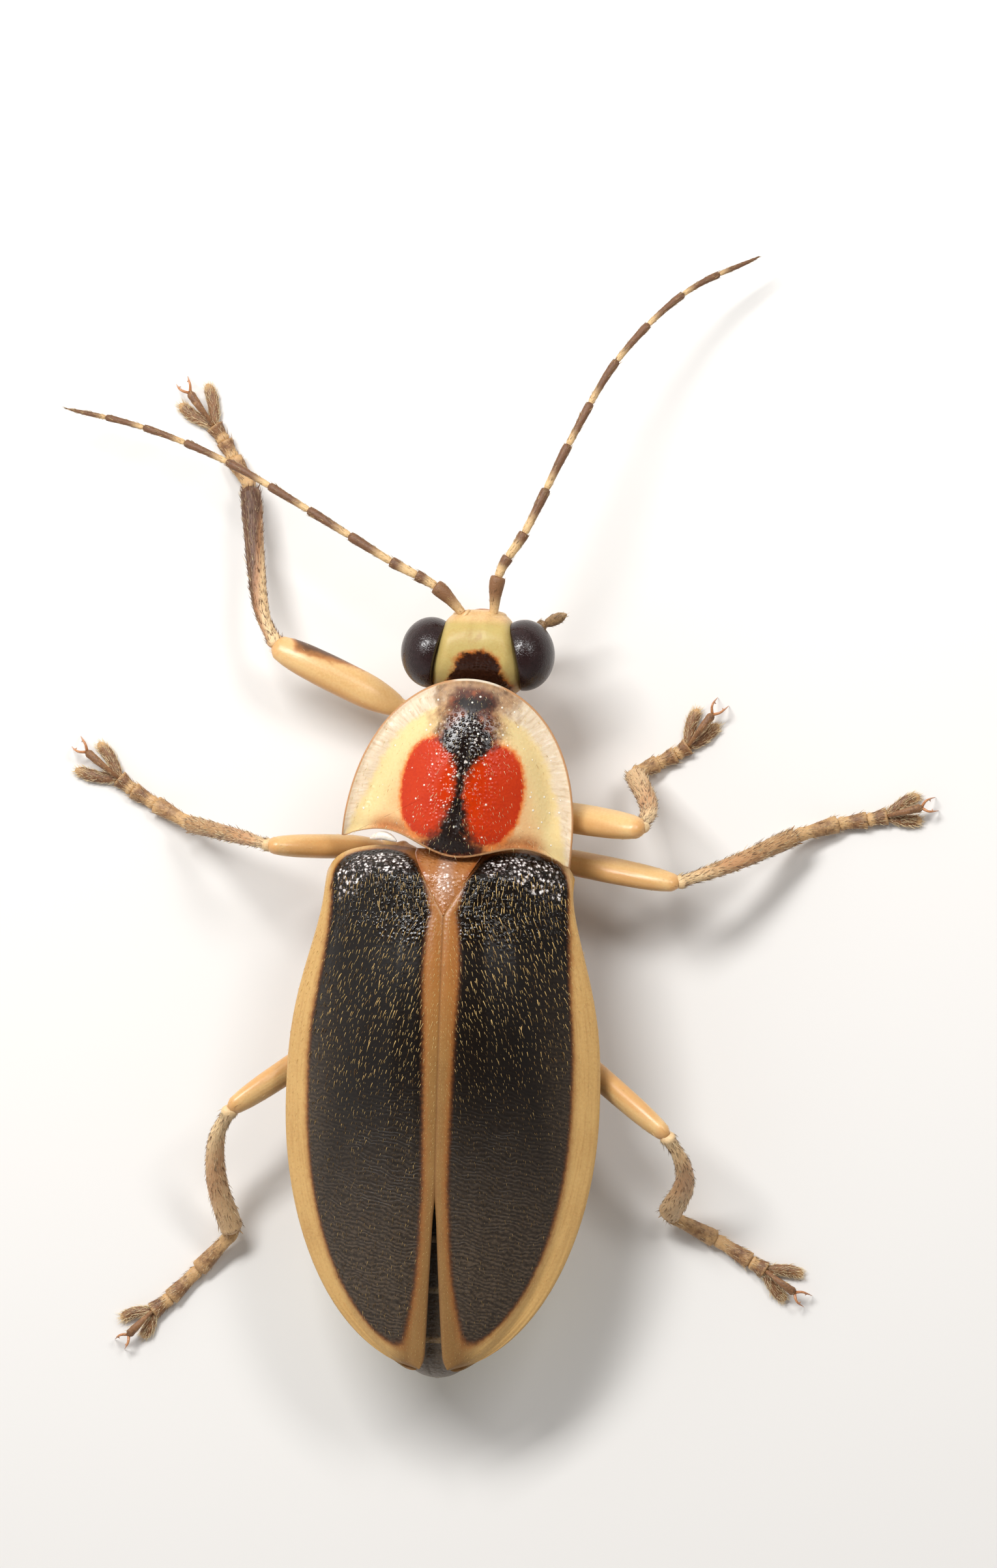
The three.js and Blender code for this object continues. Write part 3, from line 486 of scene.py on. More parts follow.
class Finish:
    """One material under construction, with short names for the steps it is made of."""

    def __init__(self, name):
        self.material = bpy.data.materials.new(name)
        self.material.use_nodes = True
        self.tree = self.material.node_tree
        self.shader = self.tree.nodes["Principled BSDF"]

    def value(self, name):
        return put(self.tree, "ShaderNodeAttribute", attribute_name=name).outputs["Fac"]

    def group(self, group, output, **inputs):
        made = put(self.tree, "ShaderNodeGroup", node_tree=group)
        for name, value in inputs.items():
            feed(self.tree, made.inputs[name.replace("_", " ")], value)
        return made.outputs[output]

    def granules(self, scale, fine, fine_scale):
        return self.group(GRANULES, "Height", Scale=scale, Fine=fine, Fine_Scale=fine_scale)

    def cells(self, scale):
        """Distance from the middle of the nearest granule, in its own width."""
        return self.group(GRANULES, "Cell", Scale=scale, Fine=0.0)

    def edge(self, distance, wobble=0.03, grain=9.0, softness=0.03):
        return self.group(EDGE, "Mask", Distance=distance, Wobble=wobble, Grain=grain, Softness=softness)

    def mottle(self, colour, shade, amount=0.4, scale=2.0, specks=30.0):
        return self.group(MOTTLE, "Colour", Colour=self.paint(colour), Shade=self.paint(shade),
                          Amount=amount, Scale=scale, Speck_Scale=specks)

    def math(self, operation, a, b=None):
        return sums(self.tree, operation, a, b)

    def plus(self, a, b):
        return self.math("ADD", a, b)

    def minus(self, a, b):
        return self.math("SUBTRACT", a, b)

    def times(self, a, b):
        return self.math("MULTIPLY", a, b)

    def most(self, a, b):
        return self.math("MAXIMUM", a, b)

    @staticmethod
    def paint(colour):
        return colour if isinstance(colour, bpy.types.NodeSocket) else srgb(colour)

    def blend(self, a, b, share):
        return blended(self.tree, self.paint(a), self.paint(b), share)

    def range(self, value, low, high, to_low=0.0, to_high=1.0):
        return eased(self.tree, value, low, high, to_low, to_high)

    def uneven_cells(self, scale, wander):
        """The same with the shape of each granule made irregular by noise."""
        cells = self.cells(scale)
        return self.plus(cells, self.range(self.noise(34.0), 0.3, 0.7, -wander, wander))

    def field(self, across, along, scale, detail=3.0):
        """Noise over two values of the surface itself, so it can run along an edge."""
        where = put(self.tree, "ShaderNodeCombineXYZ", {"X": across, "Y": along}).outputs[0]
        return noise_at(self.tree, where, scale, detail)

    def noise(self, scale, detail=3.0, stretch=None):
        where = millimetres(self.tree)
        if stretch:
            where = put(self.tree, "ShaderNodeMapping", {"Vector": where, "Scale": stretch}).outputs[0]
        return noise_at(self.tree, where, scale, detail)

    def bump(self, height, depth):
        """A bump whose height of 1 stands for depth millimetres."""
        made = put(self.tree, "ShaderNodeBump", {"Height": height, "Distance": depth * MM})
        feed(self.tree, self.shader.inputs["Normal"], made.outputs["Normal"])

    def done(self, colour, roughness, glow=0.0, glow_depth=0.2, specular=0.5):
        """Sets the shader; glow is the light that spreads inside, glow_depth mm deep."""
        values = {
            "Base Color": self.paint(colour), "Roughness": roughness, "Specular IOR Level": specular,
            "Subsurface Weight": glow, "Subsurface Radius": GLOW_SPREAD,
            "Subsurface Scale": glow_depth * MM,
        }
        for name, value in values.items():
            feed(self.tree, self.shader.inputs[name], value)
        return self.material


def plain_finish(name, colour, shade, drift, relief, roughness, glow=(0.0, 0.2)):
    """One mottled colour: drift is (amount, scale, specks), relief (scale, depth in mm) or None."""
    finish = Finish(name)
    mottled = finish.mottle(colour, shade, *drift)
    if relief:
        finish.bump(finish.noise(relief[0]), relief[1])
    return finish.done(mottled, roughness, *glow)


def srgb(colour):
    """A linear colour from the 0 to 255 numbers that a painter would mix."""
    share = np.array(colour, float) / 255
    linear = np.where(share <= 0.04045, share / 12.92, ((share + 0.055) / 1.055) ** 2.4)
    return (*linear, 1.0)


# Hairs, laid by Geometry Nodes on chosen roots


HAIR_TIP = 0.06
HAIR_PATCH = 0.003


def hair_group():
    """Bent, tapered hairs on the points of a carrier mesh, along its lie and normal."""
    group, given, ready = start_group(
        "laid_hairs", "GeometryNodeTree",
        [("Geometry", "NodeSocketGeometry", None), ("Length", FLOAT, 0.0001), ("Width", FLOAT, 0.00002),
         ("Bend", FLOAT, 0.3), ("Steps", "NodeSocketInt", 4), ("Spread", FLOAT, 0.3),
         ("Seed", "NodeSocketInt", 1), ("Material", "NodeSocketMaterial", None)],
        [("Geometry", "NodeSocketGeometry")],
    )
    shaft = put(group, "GeometryNodeCurvePrimitiveLine")
    feed(group, shaft.inputs["End"], put(group, "ShaderNodeCombineXYZ", {"Z": given["Length"]}).outputs[0])
    fine = put(group, "GeometryNodeResampleCurve", {
        "Curve": shaft.outputs["Curve"], "Count": given["Steps"],
    })
    share = put(group, "GeometryNodeSplineParameter").outputs["Factor"]
    sag = sums(group, "MULTIPLY", sums(group, "POWER", share, 2.0), given["Bend"])
    drop = sums(group, "MULTIPLY", sums(group, "MULTIPLY", sag, given["Length"]), -1.0)
    offset = put(group, "ShaderNodeCombineXYZ", {"Y": drop})
    bent = put(group, "GeometryNodeSetPosition", {
        "Geometry": fine.outputs["Curve"], "Offset": offset.outputs[0],
    })
    thin = sums(group, "SUBTRACT", 1.0, sums(group, "POWER", share, 1.6))
    thickness = sums(group, "MAXIMUM", thin, HAIR_TIP)
    radius = put(group, "GeometryNodeSetCurveRadius", {
        "Curve": bent.outputs["Geometry"], "Radius": thickness,
    })
    circle = put(group, "GeometryNodeCurvePrimitiveCircle", {
        "Resolution": 3, "Radius": sums(group, "MULTIPLY", given["Width"], 0.5),
    })
    hair = put(group, "GeometryNodeCurveToMesh", {
        "Curve": radius.outputs["Curve"], "Profile Curve": circle.outputs["Curve"], "Fill Caps": True,
    })
    if "Scale" in hair.inputs:
        feed(group, hair.inputs["Scale"], thickness)
    roots = put(group, "GeometryNodeMeshToPoints", {"Mesh": given["Geometry"]})

    def carried(name, kind):
        node = put(group, "GeometryNodeInputNamedAttribute", {"Name": name}, data_type=kind)
        return live(node.outputs, "Attribute")

    def chance(low_value, high_value, salt):
        node = put(group, "FunctionNodeRandomValue", data_type="FLOAT")
        seed = sums(group, "ADD", given["Seed"], salt)
        for name, value in (("Min", low_value), ("Max", high_value), ("Seed", seed)):
            feed(group, live(node.inputs, name), value)
        return live(node.outputs)

    lie, normal = carried("lie", "FLOAT_VECTOR"), carried("normal", "FLOAT_VECTOR")
    upright = put(group, "FunctionNodeAlignRotationToVector", {"Vector": lie}, axis="Z")
    turned = put(group, "FunctionNodeAlignRotationToVector", {
        "Rotation": upright.outputs[0], "Vector": normal,
    }, axis="Y", pivot_axis="Z")
    narrow = sums(group, "MULTIPLY", given["Spread"], -1.0)
    sway = put(group, "ShaderNodeCombineXYZ", {
        "X": chance(narrow, given["Spread"], 1.0), "Y": chance(narrow, given["Spread"], 2.0),
    })
    to_rotation = put(group, "FunctionNodeEulerToRotation", {0: sway.outputs[0]})
    swayed = put(group, "FunctionNodeRotateRotation", {
        "Rotation": turned.outputs[0], "Rotate By": to_rotation.outputs[0],
    }, rotation_space="LOCAL")
    longer = sums(group, "ADD", chance(narrow, given["Spread"], 3.0), 1.0)
    stretch = sums(group, "MULTIPLY", carried("size", "FLOAT"), longer)
    planted = put(group, "GeometryNodeInstanceOnPoints", {
        "Points": roots.outputs["Points"], "Instance": hair.outputs["Mesh"],
        "Rotation": swayed.outputs[0], "Scale": stretch,
    })
    real = put(group, "GeometryNodeRealizeInstances", {"Geometry": planted.outputs["Instances"]})
    dressed = put(group, "GeometryNodeSetMaterial", {
        "Geometry": real.outputs["Geometry"], "Material": given["Material"],
    })
    feed(group, ready.inputs["Geometry"], dressed.outputs["Geometry"])
    return group


HAIRS = hair_group()


def roots_on(points, normals, lies, sizes, patch, tone):
    """Where hairs stand, with the lie, size and tone of each and its place on their unwrap."""
    count = len(points)
    return {
        "points": np.asarray(points, float), "normal": unit(np.asarray(normals, float)),
        "lie": unit(np.asarray(lies, float)), "size": np.broadcast_to(sizes, count),
        "patch": np.asarray(patch, float), "tone": np.broadcast_to(tone, count),
    }


def join_roots(parts):
    return {name: np.concatenate([part[name] for part in parts]) for name in parts[0]}


def grow_hairs(name, roots, material, length, width, bend, steps, spread, seed):
    """A plain mesh of hairs, in millimetre sizes, made by the laid_hairs tree."""
    carrier = bpy.data.meshes.new(name + "_roots")
    carrier.from_pydata(place(roots["points"]).tolist(), [], [])
    patch_and_tone = np.column_stack([roots["patch"], roots["tone"]])
    for label, values in (("normal", roots["normal"]), ("lie", roots["lie"]), ("patch", patch_and_tone)):
        layer = carrier.attributes.new(label, "FLOAT_VECTOR", "POINT")
        layer.data.foreach_set("vector", values.astype(np.float32).ravel())
    set_values(carrier, "size", roots["size"])
    holder = show(name + "_roots", carrier)
    growth = holder.modifiers.new("hairs", "NODES")
    growth.node_group = HAIRS
    settings = {"Length": length * MM, "Width": width * MM, "Bend": bend, "Steps": steps,
                "Spread": spread, "Seed": seed, "Material": material}
    for item in HAIRS.interface.items_tree:
        if item.item_type == "SOCKET" and item.in_out == "INPUT" and item.name in settings:
            growth[item.identifier] = settings[item.name]
    bpy.context.view_layer.update()
    seen = holder.evaluated_get(bpy.context.evaluated_depsgraph_get())
    mesh = bpy.data.meshes.new_from_object(seen)
    bpy.data.objects.remove(holder)
    bpy.data.meshes.remove(carrier)
    mesh.name = name
    count = len(mesh.vertices)
    patch = np.zeros(count * 3, np.float32)
    mesh.attributes["patch"].data.foreach_get("vector", patch)
    patch = patch.reshape(-1, 3)
    each = count // len(roots["points"])
    step = np.arange(count) % each
    corner = np.column_stack([(step % 3) / 2, step / max(each - 1, 1)]) * HAIR_PATCH
    loops = np.zeros(len(mesh.loops), np.int32)
    mesh.loops.foreach_get("vertex_index", loops)
    unwrap = mesh.uv_layers.new(name="OFBake")
    unwrap.data.foreach_set("uv", (patch[:, :2] + corner)[loops].astype(np.float32).ravel())
    set_values(mesh, "tone", patch[:, 2])
    for label in ("patch", "normal", "lie", "size"):
        if label in mesh.attributes:
            mesh.attributes.remove(mesh.attributes[label])
    mesh.shade_smooth()
    return show(name, mesh)


def hair_finish(name, dark, pale):
    finish = Finish(name)
    tone = finish.plus(finish.value("tone"), finish.times(finish.noise(4.0), 0.3))
    colour = finish.blend(dark, pale, finish.range(tone, 0.35, 0.95))
    return finish.done(colour, 0.4, glow=0.2, glow_depth=0.03)


# Wing cases

SIDES = {"left": -1, "right": 1}
CASE_HALF_WIDTH = 2.69
CASE_WIDEST_Y = -4.3
CASE_FRONT_Y = -0.02
CASE_BASE_Y = 0.13
CASE_TIP_Y = -8.86
CASE_SHOULDER_LOSS = 0.56
CASE_SHOULDER_REACH = 4.2
CASE_CREST_Z = 3.4
CASE_EDGE_Z = 2.2
CASE_ARCH_POWER = 2.3
CASE_GAP_START_Y = -5.8
CASE_GAP_AT_TIP = 0.14
CASE_TIP_TURN = math.radians(84)
CASE_PEAK_Y = -3.2
CASE_BASE_FALL = 0.4
CASE_TIP_FALL = 0.95
CASE_SHEET = 0.12
# widths of the tan borders along the outer edge and along the suture, from the base to the tip
RIM_WIDTHS = [
    (0, 0.1), (0.8, 0.17), (1.6, 0.26), (2.6, 0.4), (4, 0.47), (6, 0.45), (7.5, 0.4), (8.86, 0.42),
]
STRIPE_WIDTHS = [
    (0, 0.02), (0.5, 0.05), (1.0, 0.21), (1.75, 0.29), (3.2, 0.25), (5.2, 0.21), (7.3, 0.21),
    (8.3, 0.33), (8.86, 0.38),
]
SCUTELLUM_HALF_WIDTH = 0.46
SCUTELLUM_FRONT_Y = -0.12
SCUTELLUM_BACK_Y = -1.0


def case_outer(y):
    """Distance of the outer edge from the middle line, a quarter of an oval behind its widest place."""
    rear = np.clip((CASE_WIDEST_Y - y) / (CASE_WIDEST_Y - CASE_TIP_Y), 0, 1)
    ahead = smooth(y, CASE_WIDEST_Y, CASE_WIDEST_Y + CASE_SHOULDER_REACH) ** 1.5
    return np.where(y < CASE_WIDEST_Y, CASE_HALF_WIDTH * np.sqrt(1 - rear**2),
                    CASE_HALF_WIDTH - CASE_SHOULDER_LOSS * ahead)


def case_inner(y):
    """Distance of the suture from the middle line, open at the scutellum and towards the tip."""
    beside = np.clip((y - SCUTELLUM_BACK_Y) / (SCUTELLUM_FRONT_Y - SCUTELLUM_BACK_Y), 0, 1.1)
    opening = np.maximum((CASE_GAP_START_Y - y) / (CASE_GAP_START_Y - CASE_TIP_Y), 0)
    seam = mix(0.004, 0.03, smooth(y, -5.4, -6.4))
    corner = np.clip((CASE_TIP_Y + 0.3 - y) / 0.3, 0, 1)
    return seam + (SCUTELLUM_HALF_WIDTH + 0.02) * beside + CASE_GAP_AT_TIP * opening + 0.085 * corner**2.5


def case_crest(y):
    """Height along the suture."""
    base = CASE_BASE_FALL * (np.maximum(y - CASE_PEAK_Y, 0) / CASE_PEAK_Y) ** 2
    rear = np.maximum(CASE_PEAK_Y - y, 0) / (CASE_PEAK_Y - CASE_TIP_Y)
    return CASE_CREST_Z - base - CASE_TIP_FALL * rear**2.2


def case_edge(y):
    return CASE_EDGE_Z + 0.1 * ((y - CASE_WIDEST_Y) / CASE_WIDEST_Y) ** 2


def case_top(across, y):
    """Height of the outer face; across runs from 0 at the suture to 1 at the outer edge."""
    arch = (case_crest(y) - case_edge(y)) * (1 - across**CASE_ARCH_POWER)
    suture_dip = 0.02 * np.maximum(1 - across / 0.05, 0) ** 2
    front_dip = 0.45 * np.maximum(1 - (CASE_FRONT_Y - y) / 0.4, 0) ** 2 * (1 - 0.6 * across)
    flare = 0.07 * smooth(across, 0.84, 1) * smooth(y, -8.75, -7.6)
    return case_edge(y) + arch - suture_dip - front_dip + flare


def case_row(share):
    """Where a row of points crosses the wing case: rows are closer where the outline turns."""
    waist = 0.45
    forward = np.cos(np.minimum(share / waist, 1) * math.pi / 2)
    turn = np.maximum(share - waist, 0) / (1 - waist) * CASE_TIP_TURN
    front = mix(CASE_BASE_Y, CASE_WIDEST_Y, 1 - forward)
    rear = CASE_WIDEST_Y - (CASE_WIDEST_Y - CASE_TIP_Y) * np.sin(turn)
    return np.where(share < waist, front, rear)


def case_columns(count):
    return np.sin(np.linspace(0, 1, count) * math.pi / 2) ** 1.05


def case_surface(side, across, share):
    """A place on the outer face of a wing case, with its weak ribs and shallow dents."""
    y = case_row(share)
    width = case_outer(y) - case_inner(y)
    x = case_inner(y) + width * across
    rounding = 0.3 * across**3 + 0.22 * across**14 + 0.1 * (1 - across) ** 4
    reach = y - rounding * (1 - smooth(share, 0, 0.4))
    ribs = sum(bell(across, centre, 0.05) for centre in (0.3, 0.52, 0.73))
    along = smooth(share, 0.08, 0.3) * (1 - smooth(share, 0.75, 0.98))
    z = case_top(across, y) + 0.012 * ribs * along
    z = z + 0.012 * bell(across, 0.985, 0.02) - 0.02 * bell(across, 0.86, 0.05) * along
    z = z - 0.012 * bell(x - case_inner(y), 0.26, 0.07) * smooth(share, 0.05, 0.15)
    return np.stack([side * x, reach, z], -1)


def surface_normals(grid):
    """Upward normals of a grid of points."""
    normals = unit(np.cross(np.gradient(grid, axis=0), np.gradient(grid, axis=1)))
    return normals * np.sign(normals[..., 2:3].mean())


def case_distances(grid):
    """How far each place lies from the outer edge, the suture and the base, in millimetres."""
    steps = np.linalg.norm(np.diff(grid, axis=1), axis=2)
    inward = np.concatenate([np.zeros((len(grid), 1)), np.cumsum(steps, axis=1)], axis=1)
    back = np.linalg.norm(np.diff(grid, axis=0), axis=2)
    behind = np.vstack([np.zeros((1, grid.shape[1])), np.cumsum(back, axis=0)])
    return inward[:, -1:] - inward, inward, behind


def soft_min(values, sharp):
    """The smallest of several distances, with their corners rounded."""
    return -np.log(sum(np.exp(-sharp * value) for value in values)) / sharp


def rounded_corner(a, b, radius):
    """Distance inside a corner between two edges, with the corner rounded off."""
    inside = np.minimum(np.minimum(a, b), radius)
    cut = radius - np.hypot(np.maximum(radius - a, 0), np.maximum(radius - b, 0))
    return np.where((a < radius) & (b < radius), cut, inside)


def case_black(side, y, from_edge, from_suture, from_base):
    """Distance inside the black field of a wing case, negative on its tan borders."""
    rim = profile(-y, RIM_WIDTHS)
    if side > 0:
        rim = rim + 0.08 * smooth(y, -0.8, -2.5)
    else:
        rim = rim + 0.09 * (1 - smooth(-y, 1.6, 3.2))
    stripe = profile(-y, STRIPE_WIDTHS)
    inner = rounded_corner(from_suture - stripe, from_base - 0.04, 0.7)
    outer = rounded_corner(from_edge - rim, from_base - 0.04, 0.5)
    sharp = mix(14.0, 4.5, smooth(y, -7.0, -8.4))
    return soft_min([inner, outer], sharp)


def case_glint_band(black, from_base):
    """How far a place lies in the band along the base of the black field where glints are painted on the
    granules.
    """
    band = bell(from_base, 0.52, 0.3) * smooth(black, 0.06, 0.3)
    return band * (1 - smooth(from_base, 0.95, 1.35))


def wing_case(side):
    """A closed thin shell, and its outer face, normals and black field for the hairs."""
    rows, columns, rounds = 280, 96, 5
    share = np.linspace(0, 1, rows)[:, None]
    across = case_columns(columns)[None, :]
    top = case_surface(side, across + 0 * share, share + 0 * across)
    normals = surface_normals(top)
    taper = np.sqrt(1 - (1 - np.clip(np.minimum(share / 0.03, (1 - share) / 0.03), 0, 1)) ** 2)
    margin = np.maximum(smooth(across, 0.75, 1), 1 - smooth(across, 0, 0.1))
    depth = (CASE_SHEET * (1 - 0.5 * margin) * np.maximum(taper, 0.08))[..., None]
    bottom = top - normals * depth
    outward = unit(top[:, -1] - top[:, -2])
    inward = unit(top[:, 0] - top[:, 1])
    lip, hem = [], []
    for lean, bulge in round_steps(rounds):
        lip.append(top[:, -1] - normals[:, -1] * depth[:, -1] * lean + outward * depth[:, -1] * bulge)
        hem.append(bottom[:, 0] + normals[:, 0] * depth[:, 0] * lean + inward * depth[:, 0] * bulge)
    rings = np.concatenate([top, np.stack(lip, 1), bottom[:, ::-1], np.stack(hem, 1)], axis=1)
    from_edge, from_suture, from_base = case_distances(top)
    from_base = from_base - 0.08
    y = case_row(share) + 0 * across
    black = case_black(side, y, from_edge, from_suture, from_base)
    # each value on the outer face, and its fixed numbers on the outer lip and on the suture's hem
    values = {
        "black": (black, -0.5, -0.5), "stripe": (1 - smooth(from_suture, 0.3, 0.7), 0.0, 1.0),
        "rear": (-y / 9.0, 0.5, 0.5), "rim": (from_edge, 0.0, 1.0), "suture": (from_suture, 1.0, 0.0),
        "along": (y, -4.0, -4.0), "dome": (case_glint_band(black, from_base), 0.0, 0.0),
    }
    turned = np.ones((rows, rounds))
    for name, (face, lip_value, hem_value) in values.items():
        values[name] = np.concatenate([face, turned * lip_value, face[:, ::-1], turned * hem_value], axis=1)
    return ring_shell(rings, **values), top, normals, black


def wing_case_material():
    finish = Finish("wing_case_cuticle")
    rear, along, rim = finish.value("rear"), finish.value("along"), finish.value("rim")
    lines = finish.field(finish.times(rim, 18.0), along, 1.3, 4.0)
    tan = finish.mottle((208, 168, 106), (182, 136, 78), 0.5, 1.2, 24.0)
    tan = finish.blend(tan, (170, 124, 72), finish.times(finish.range(lines, 0.46, 0.75), 0.4))
    stripe_front = finish.mottle((166, 108, 52), (138, 84, 38), 0.5, 2.5, 30.0)
    stripe_rear = finish.mottle((150, 112, 64), (122, 84, 44), 0.5, 2.5, 30.0)
    stripe = finish.blend(stripe_front, stripe_rear, finish.range(rear, 0.16, 0.45))
    threads = finish.field(finish.times(finish.value("suture"), 30.0), along, 1.3, 4.0)
    stripe = finish.blend(stripe, (140, 92, 50), finish.times(finish.range(threads, 0.5, 0.75), 0.4))
    border = finish.blend(tan, stripe, finish.value("stripe"))
    black = finish.value("black")
    seam_line = finish.range(finish.value("suture"), 0.03, 0.0, 0.0, 0.4)
    border = finish.blend(border, (122, 80, 42), finish.times(seam_line, finish.value("stripe")))
    glow = finish.blend(border, (150, 92, 44), finish.edge(finish.plus(black, 0.04), 0.03, 8.0, 0.1))
    brown = finish.blend(glow, (86, 46, 20), finish.edge(black, 0.02, 14.0, 0.06))
    edge = finish.edge(finish.minus(black, 0.03), 0.02, 14.0, 0.055)
    deep = finish.mottle((16, 10, 6), (27, 18, 11), 0.6, 1.5, 40.0)
    # painted sheen: the black is painted lighter grey-brown towards the rear and along the outer sides,
    # where the cuticle reflects the bright surroundings; noise and the ripples break the painted sheen up
    painted_side_sheen = finish.times(finish.range(rim, 1.5, 0.4), finish.range(rear, 0.15, 0.5))
    painted_sheen = finish.most(finish.times(painted_side_sheen, 0.6), finish.range(rear, 0.4, 0.85, 0.0, 0.75))
    patchy = finish.noise(18.0, 4.0, (1.0, 1.6, 1.0))
    painted_sheen = finish.times(painted_sheen, finish.range(patchy, 0.36, 0.62, 0.45, 1.0))
    ripples = finish.group(RIPPLES, "Height", Scale=4.2, Slant=0.25, Wander=0.35)
    painted_sheen = finish.times(painted_sheen, finish.range(ripples, 0.15, 0.85, 0.6, 1.2))
    deep = finish.blend(deep, (92, 77, 62), painted_sheen)
    colour = finish.blend(brown, deep, edge)
    # painted glints: pale tips on the granules, each with a grey halo, painted in patches along the base of
    # the black field, where the shoulder catches the light
    cells = finish.uneven_cells(13.0, 0.16)
    dome = finish.times(finish.range(finish.value("dome"), 0.0, 0.5), edge)
    glint_patches = finish.plus(finish.noise(6.0, 4.0), finish.times(dome, 0.26))
    glint_patches = finish.times(finish.range(glint_patches, 0.52, 0.78), finish.range(dome, 0.0, 0.3))
    colour = finish.blend(colour, (96, 84, 82), finish.times(finish.range(cells, 0.6, 0.34), glint_patches))
    tips = finish.times(finish.range(cells, 0.4, 0.18), glint_patches)
    colour = finish.blend(colour, (246, 240, 236), tips)
    granules = finish.granules(14.0, 0.1, 50.0)
    smooth_tan = finish.range(edge, 0.0, 1.0, 0.1, 1.0)
    front = finish.times(finish.range(rear, 0.19, 0.1, 0.0, 1.5), smooth_tan)
    backward = finish.times(finish.range(rear, 0.34, 0.66, 0.0, 0.6), smooth_tan)
    relief = finish.plus(finish.times(granules, finish.plus(front, 0.1)),
                         finish.times(ripples, backward))
    relief = finish.plus(relief, finish.times(lines, finish.range(edge, 1.0, 0.0, 0.0, 0.4)))
    finish.bump(relief, 0.009)
    glossy = finish.times(finish.range(rear, 0.21, 0.13), edge)
    rough = finish.range(glossy, 0.0, 1.0, finish.range(rear, 0.3, 0.7, 0.27, 0.5), 0.15)
    return finish.done(colour, rough, glow=0.08, glow_depth=0.08, specular=0.34)


def case_hair_roots(side, top, normals, black):
    """Slanting rows of hair roots over a wing case, which fan out towards the tip."""
    rows, columns = top.shape[:2]
    draw = np.random.default_rng(21 + side)
    pitch_back, pitch_across, slant = 0.086, 0.068, 2.1
    places = []
    for row_y in np.arange(-0.35, -8.7, -pitch_back):
        width = case_outer(np.array(row_y)) - case_inner(np.array(row_y))
        count = max(int(width / pitch_across), 1)
        offset = (row_y * slant) % 1.0
        places += [(row_y, (k + offset) / count) for k in range(count)]
    places = np.array(places) + draw.normal(0, 1, (len(places), 2)) * (0.025, 0.006)
    share = np.interp(-places[:, 0], -case_row(np.linspace(0, 1, rows)), np.linspace(0, 1, rows))
    i = np.clip((share * (rows - 1)).astype(int), 1, rows - 3)
    column = np.interp(np.clip(places[:, 1], 0, 1), case_columns(columns), np.arange(columns))
    j = np.clip(column.astype(int), 1, columns - 2)
    points = top[i, j] + draw.normal(0, 0.008, (len(i), 3)) * (1, 1, 0)
    normal = normals[i, j]
    back = unit(top[i + 1, j] - top[i - 1, j])
    outward = unit(top[i, j + 1] - top[i, j - 1])
    lean = (0.30 + 0.12 * draw.normal(size=len(i)))[:, None]
    lie = unit(back + lean * outward + 0.2 * normal)
    size = 1 + 0.25 * draw.normal(size=len(i))
    # The hairs grow smaller and darker towards the tip, sooner and further on the right wing case; the
    # darkening is painted shade, as less light catches the hairs there.
    faintest, full_until = (0.6, 2.4) if side < 0 else (0.48, 1.4)
    fade_and_painted_shade = mix(1.0, faintest, smooth(-places[:, 0], full_until, 5.4))
    tone = np.clip(0.62 + 0.26 * draw.normal(size=len(i)), 0, 1) * fade_and_painted_shade
    on_tan = 1 - smooth(black[i, j], -0.03, 0.03)
    tone = np.maximum(tone, 0.95 * on_tan)
    size = size * (1 - 0.35 * on_tan)
    patch = np.column_stack([j / columns * 0.45 + (0.5 if side > 0 else 0.0), i / rows * 0.95])
    return roots_on(points, normal, lie, np.clip(size * fade_and_painted_shade, 0.4, 1.6), patch, tone)


def add_wing_cases():
    finish = wing_case_material()
    hair = hair_finish("gold_hair", (98, 72, 38), (220, 180, 116))
    for label, side in SIDES.items():
        body, top, normals, black = wing_case(side)
        settle(make_piece("wing_case_" + label, body, finish), "wing_case", "elytron_" + label)
        roots = case_hair_roots(side, top, normals, black)
        hairs = grow_hairs("wing_case_hairs_" + label, roots, hair, 0.1, 0.0125, 0.3, 4, 0.14, 5 + side)
        settle(hairs, "wing_case")


# Pronotum

SHIELD_CENTRE = np.array([0.1, 0.03, 0.0])
SHIELD_YAW = math.radians(-6.5)
SHIELD_HALF_WIDTH = 1.96
SHIELD_LENGTH = 2.93
SHIELD_CREST_Z = 3.15
SHIELD_ARCH = 0.65
SHIELD_FRONT_DROP = 0.35
SHIELD_BACK_DROP = 0.15
SHIELD_SLOPE_START_Y = 1.2
SHIELD_MIDDLE_Y = SHIELD_LENGTH * 0.42
SHIELD_RING_POWER = 1.25
SHIELD_FRONT_SHARE, SHIELD_HIND_SHARE = 0.7, 0.3
# half widths of the dark marks at distances y ahead of the hind edge
BLACK_MARK = [
    (-0.2, 0.66), (-0.06, 0.52), (0.05, 0.4), (0.16, 0.29), (0.31, 0.21), (0.5, 0.17), (0.7, 0.13),
    (0.85, 0.08), (1.0, 0.05), (1.2, 0.05), (1.35, 0.075), (1.5, 0.12), (1.62, 0.22), (1.74, 0.38),
    (1.88, 0.46), (2.02, 0.38), (2.15, 0.25), (2.28, 0.14), (2.38, 0.08), (2.46, 0.2), (2.54, 0.34),
    (2.62, 0.3), (2.7, 0.16),
]
STAIN = [
    (-0.2, 0.74), (0.05, 0.6), (0.2, 0.42), (0.7, 0.17), (1.2, 0.09), (1.64, 0.26), (1.9, 0.52),
    (2.1, 0.5), (2.4, 0.42), (2.6, 0.42), (2.8, 0.2),
]
# width of the clear border
CLEAR_MARGIN = [(-0.2, 0.03), (0, 0.05), (0.3, 0.12), (0.7, 0.22), (1.2, 0.28), (2.0, 0.3), (2.93, 0.46)]


def from_shield(points):
    """The shield is drawn straight, then turned a little and set on its place."""
    turn = np.array([[math.cos(SHIELD_YAW), -math.sin(SHIELD_YAW), 0],
                     [math.sin(SHIELD_YAW), math.cos(SHIELD_YAW), 0], [0, 0, 1]])
    return points @ turn.T + SHIELD_CENTRE


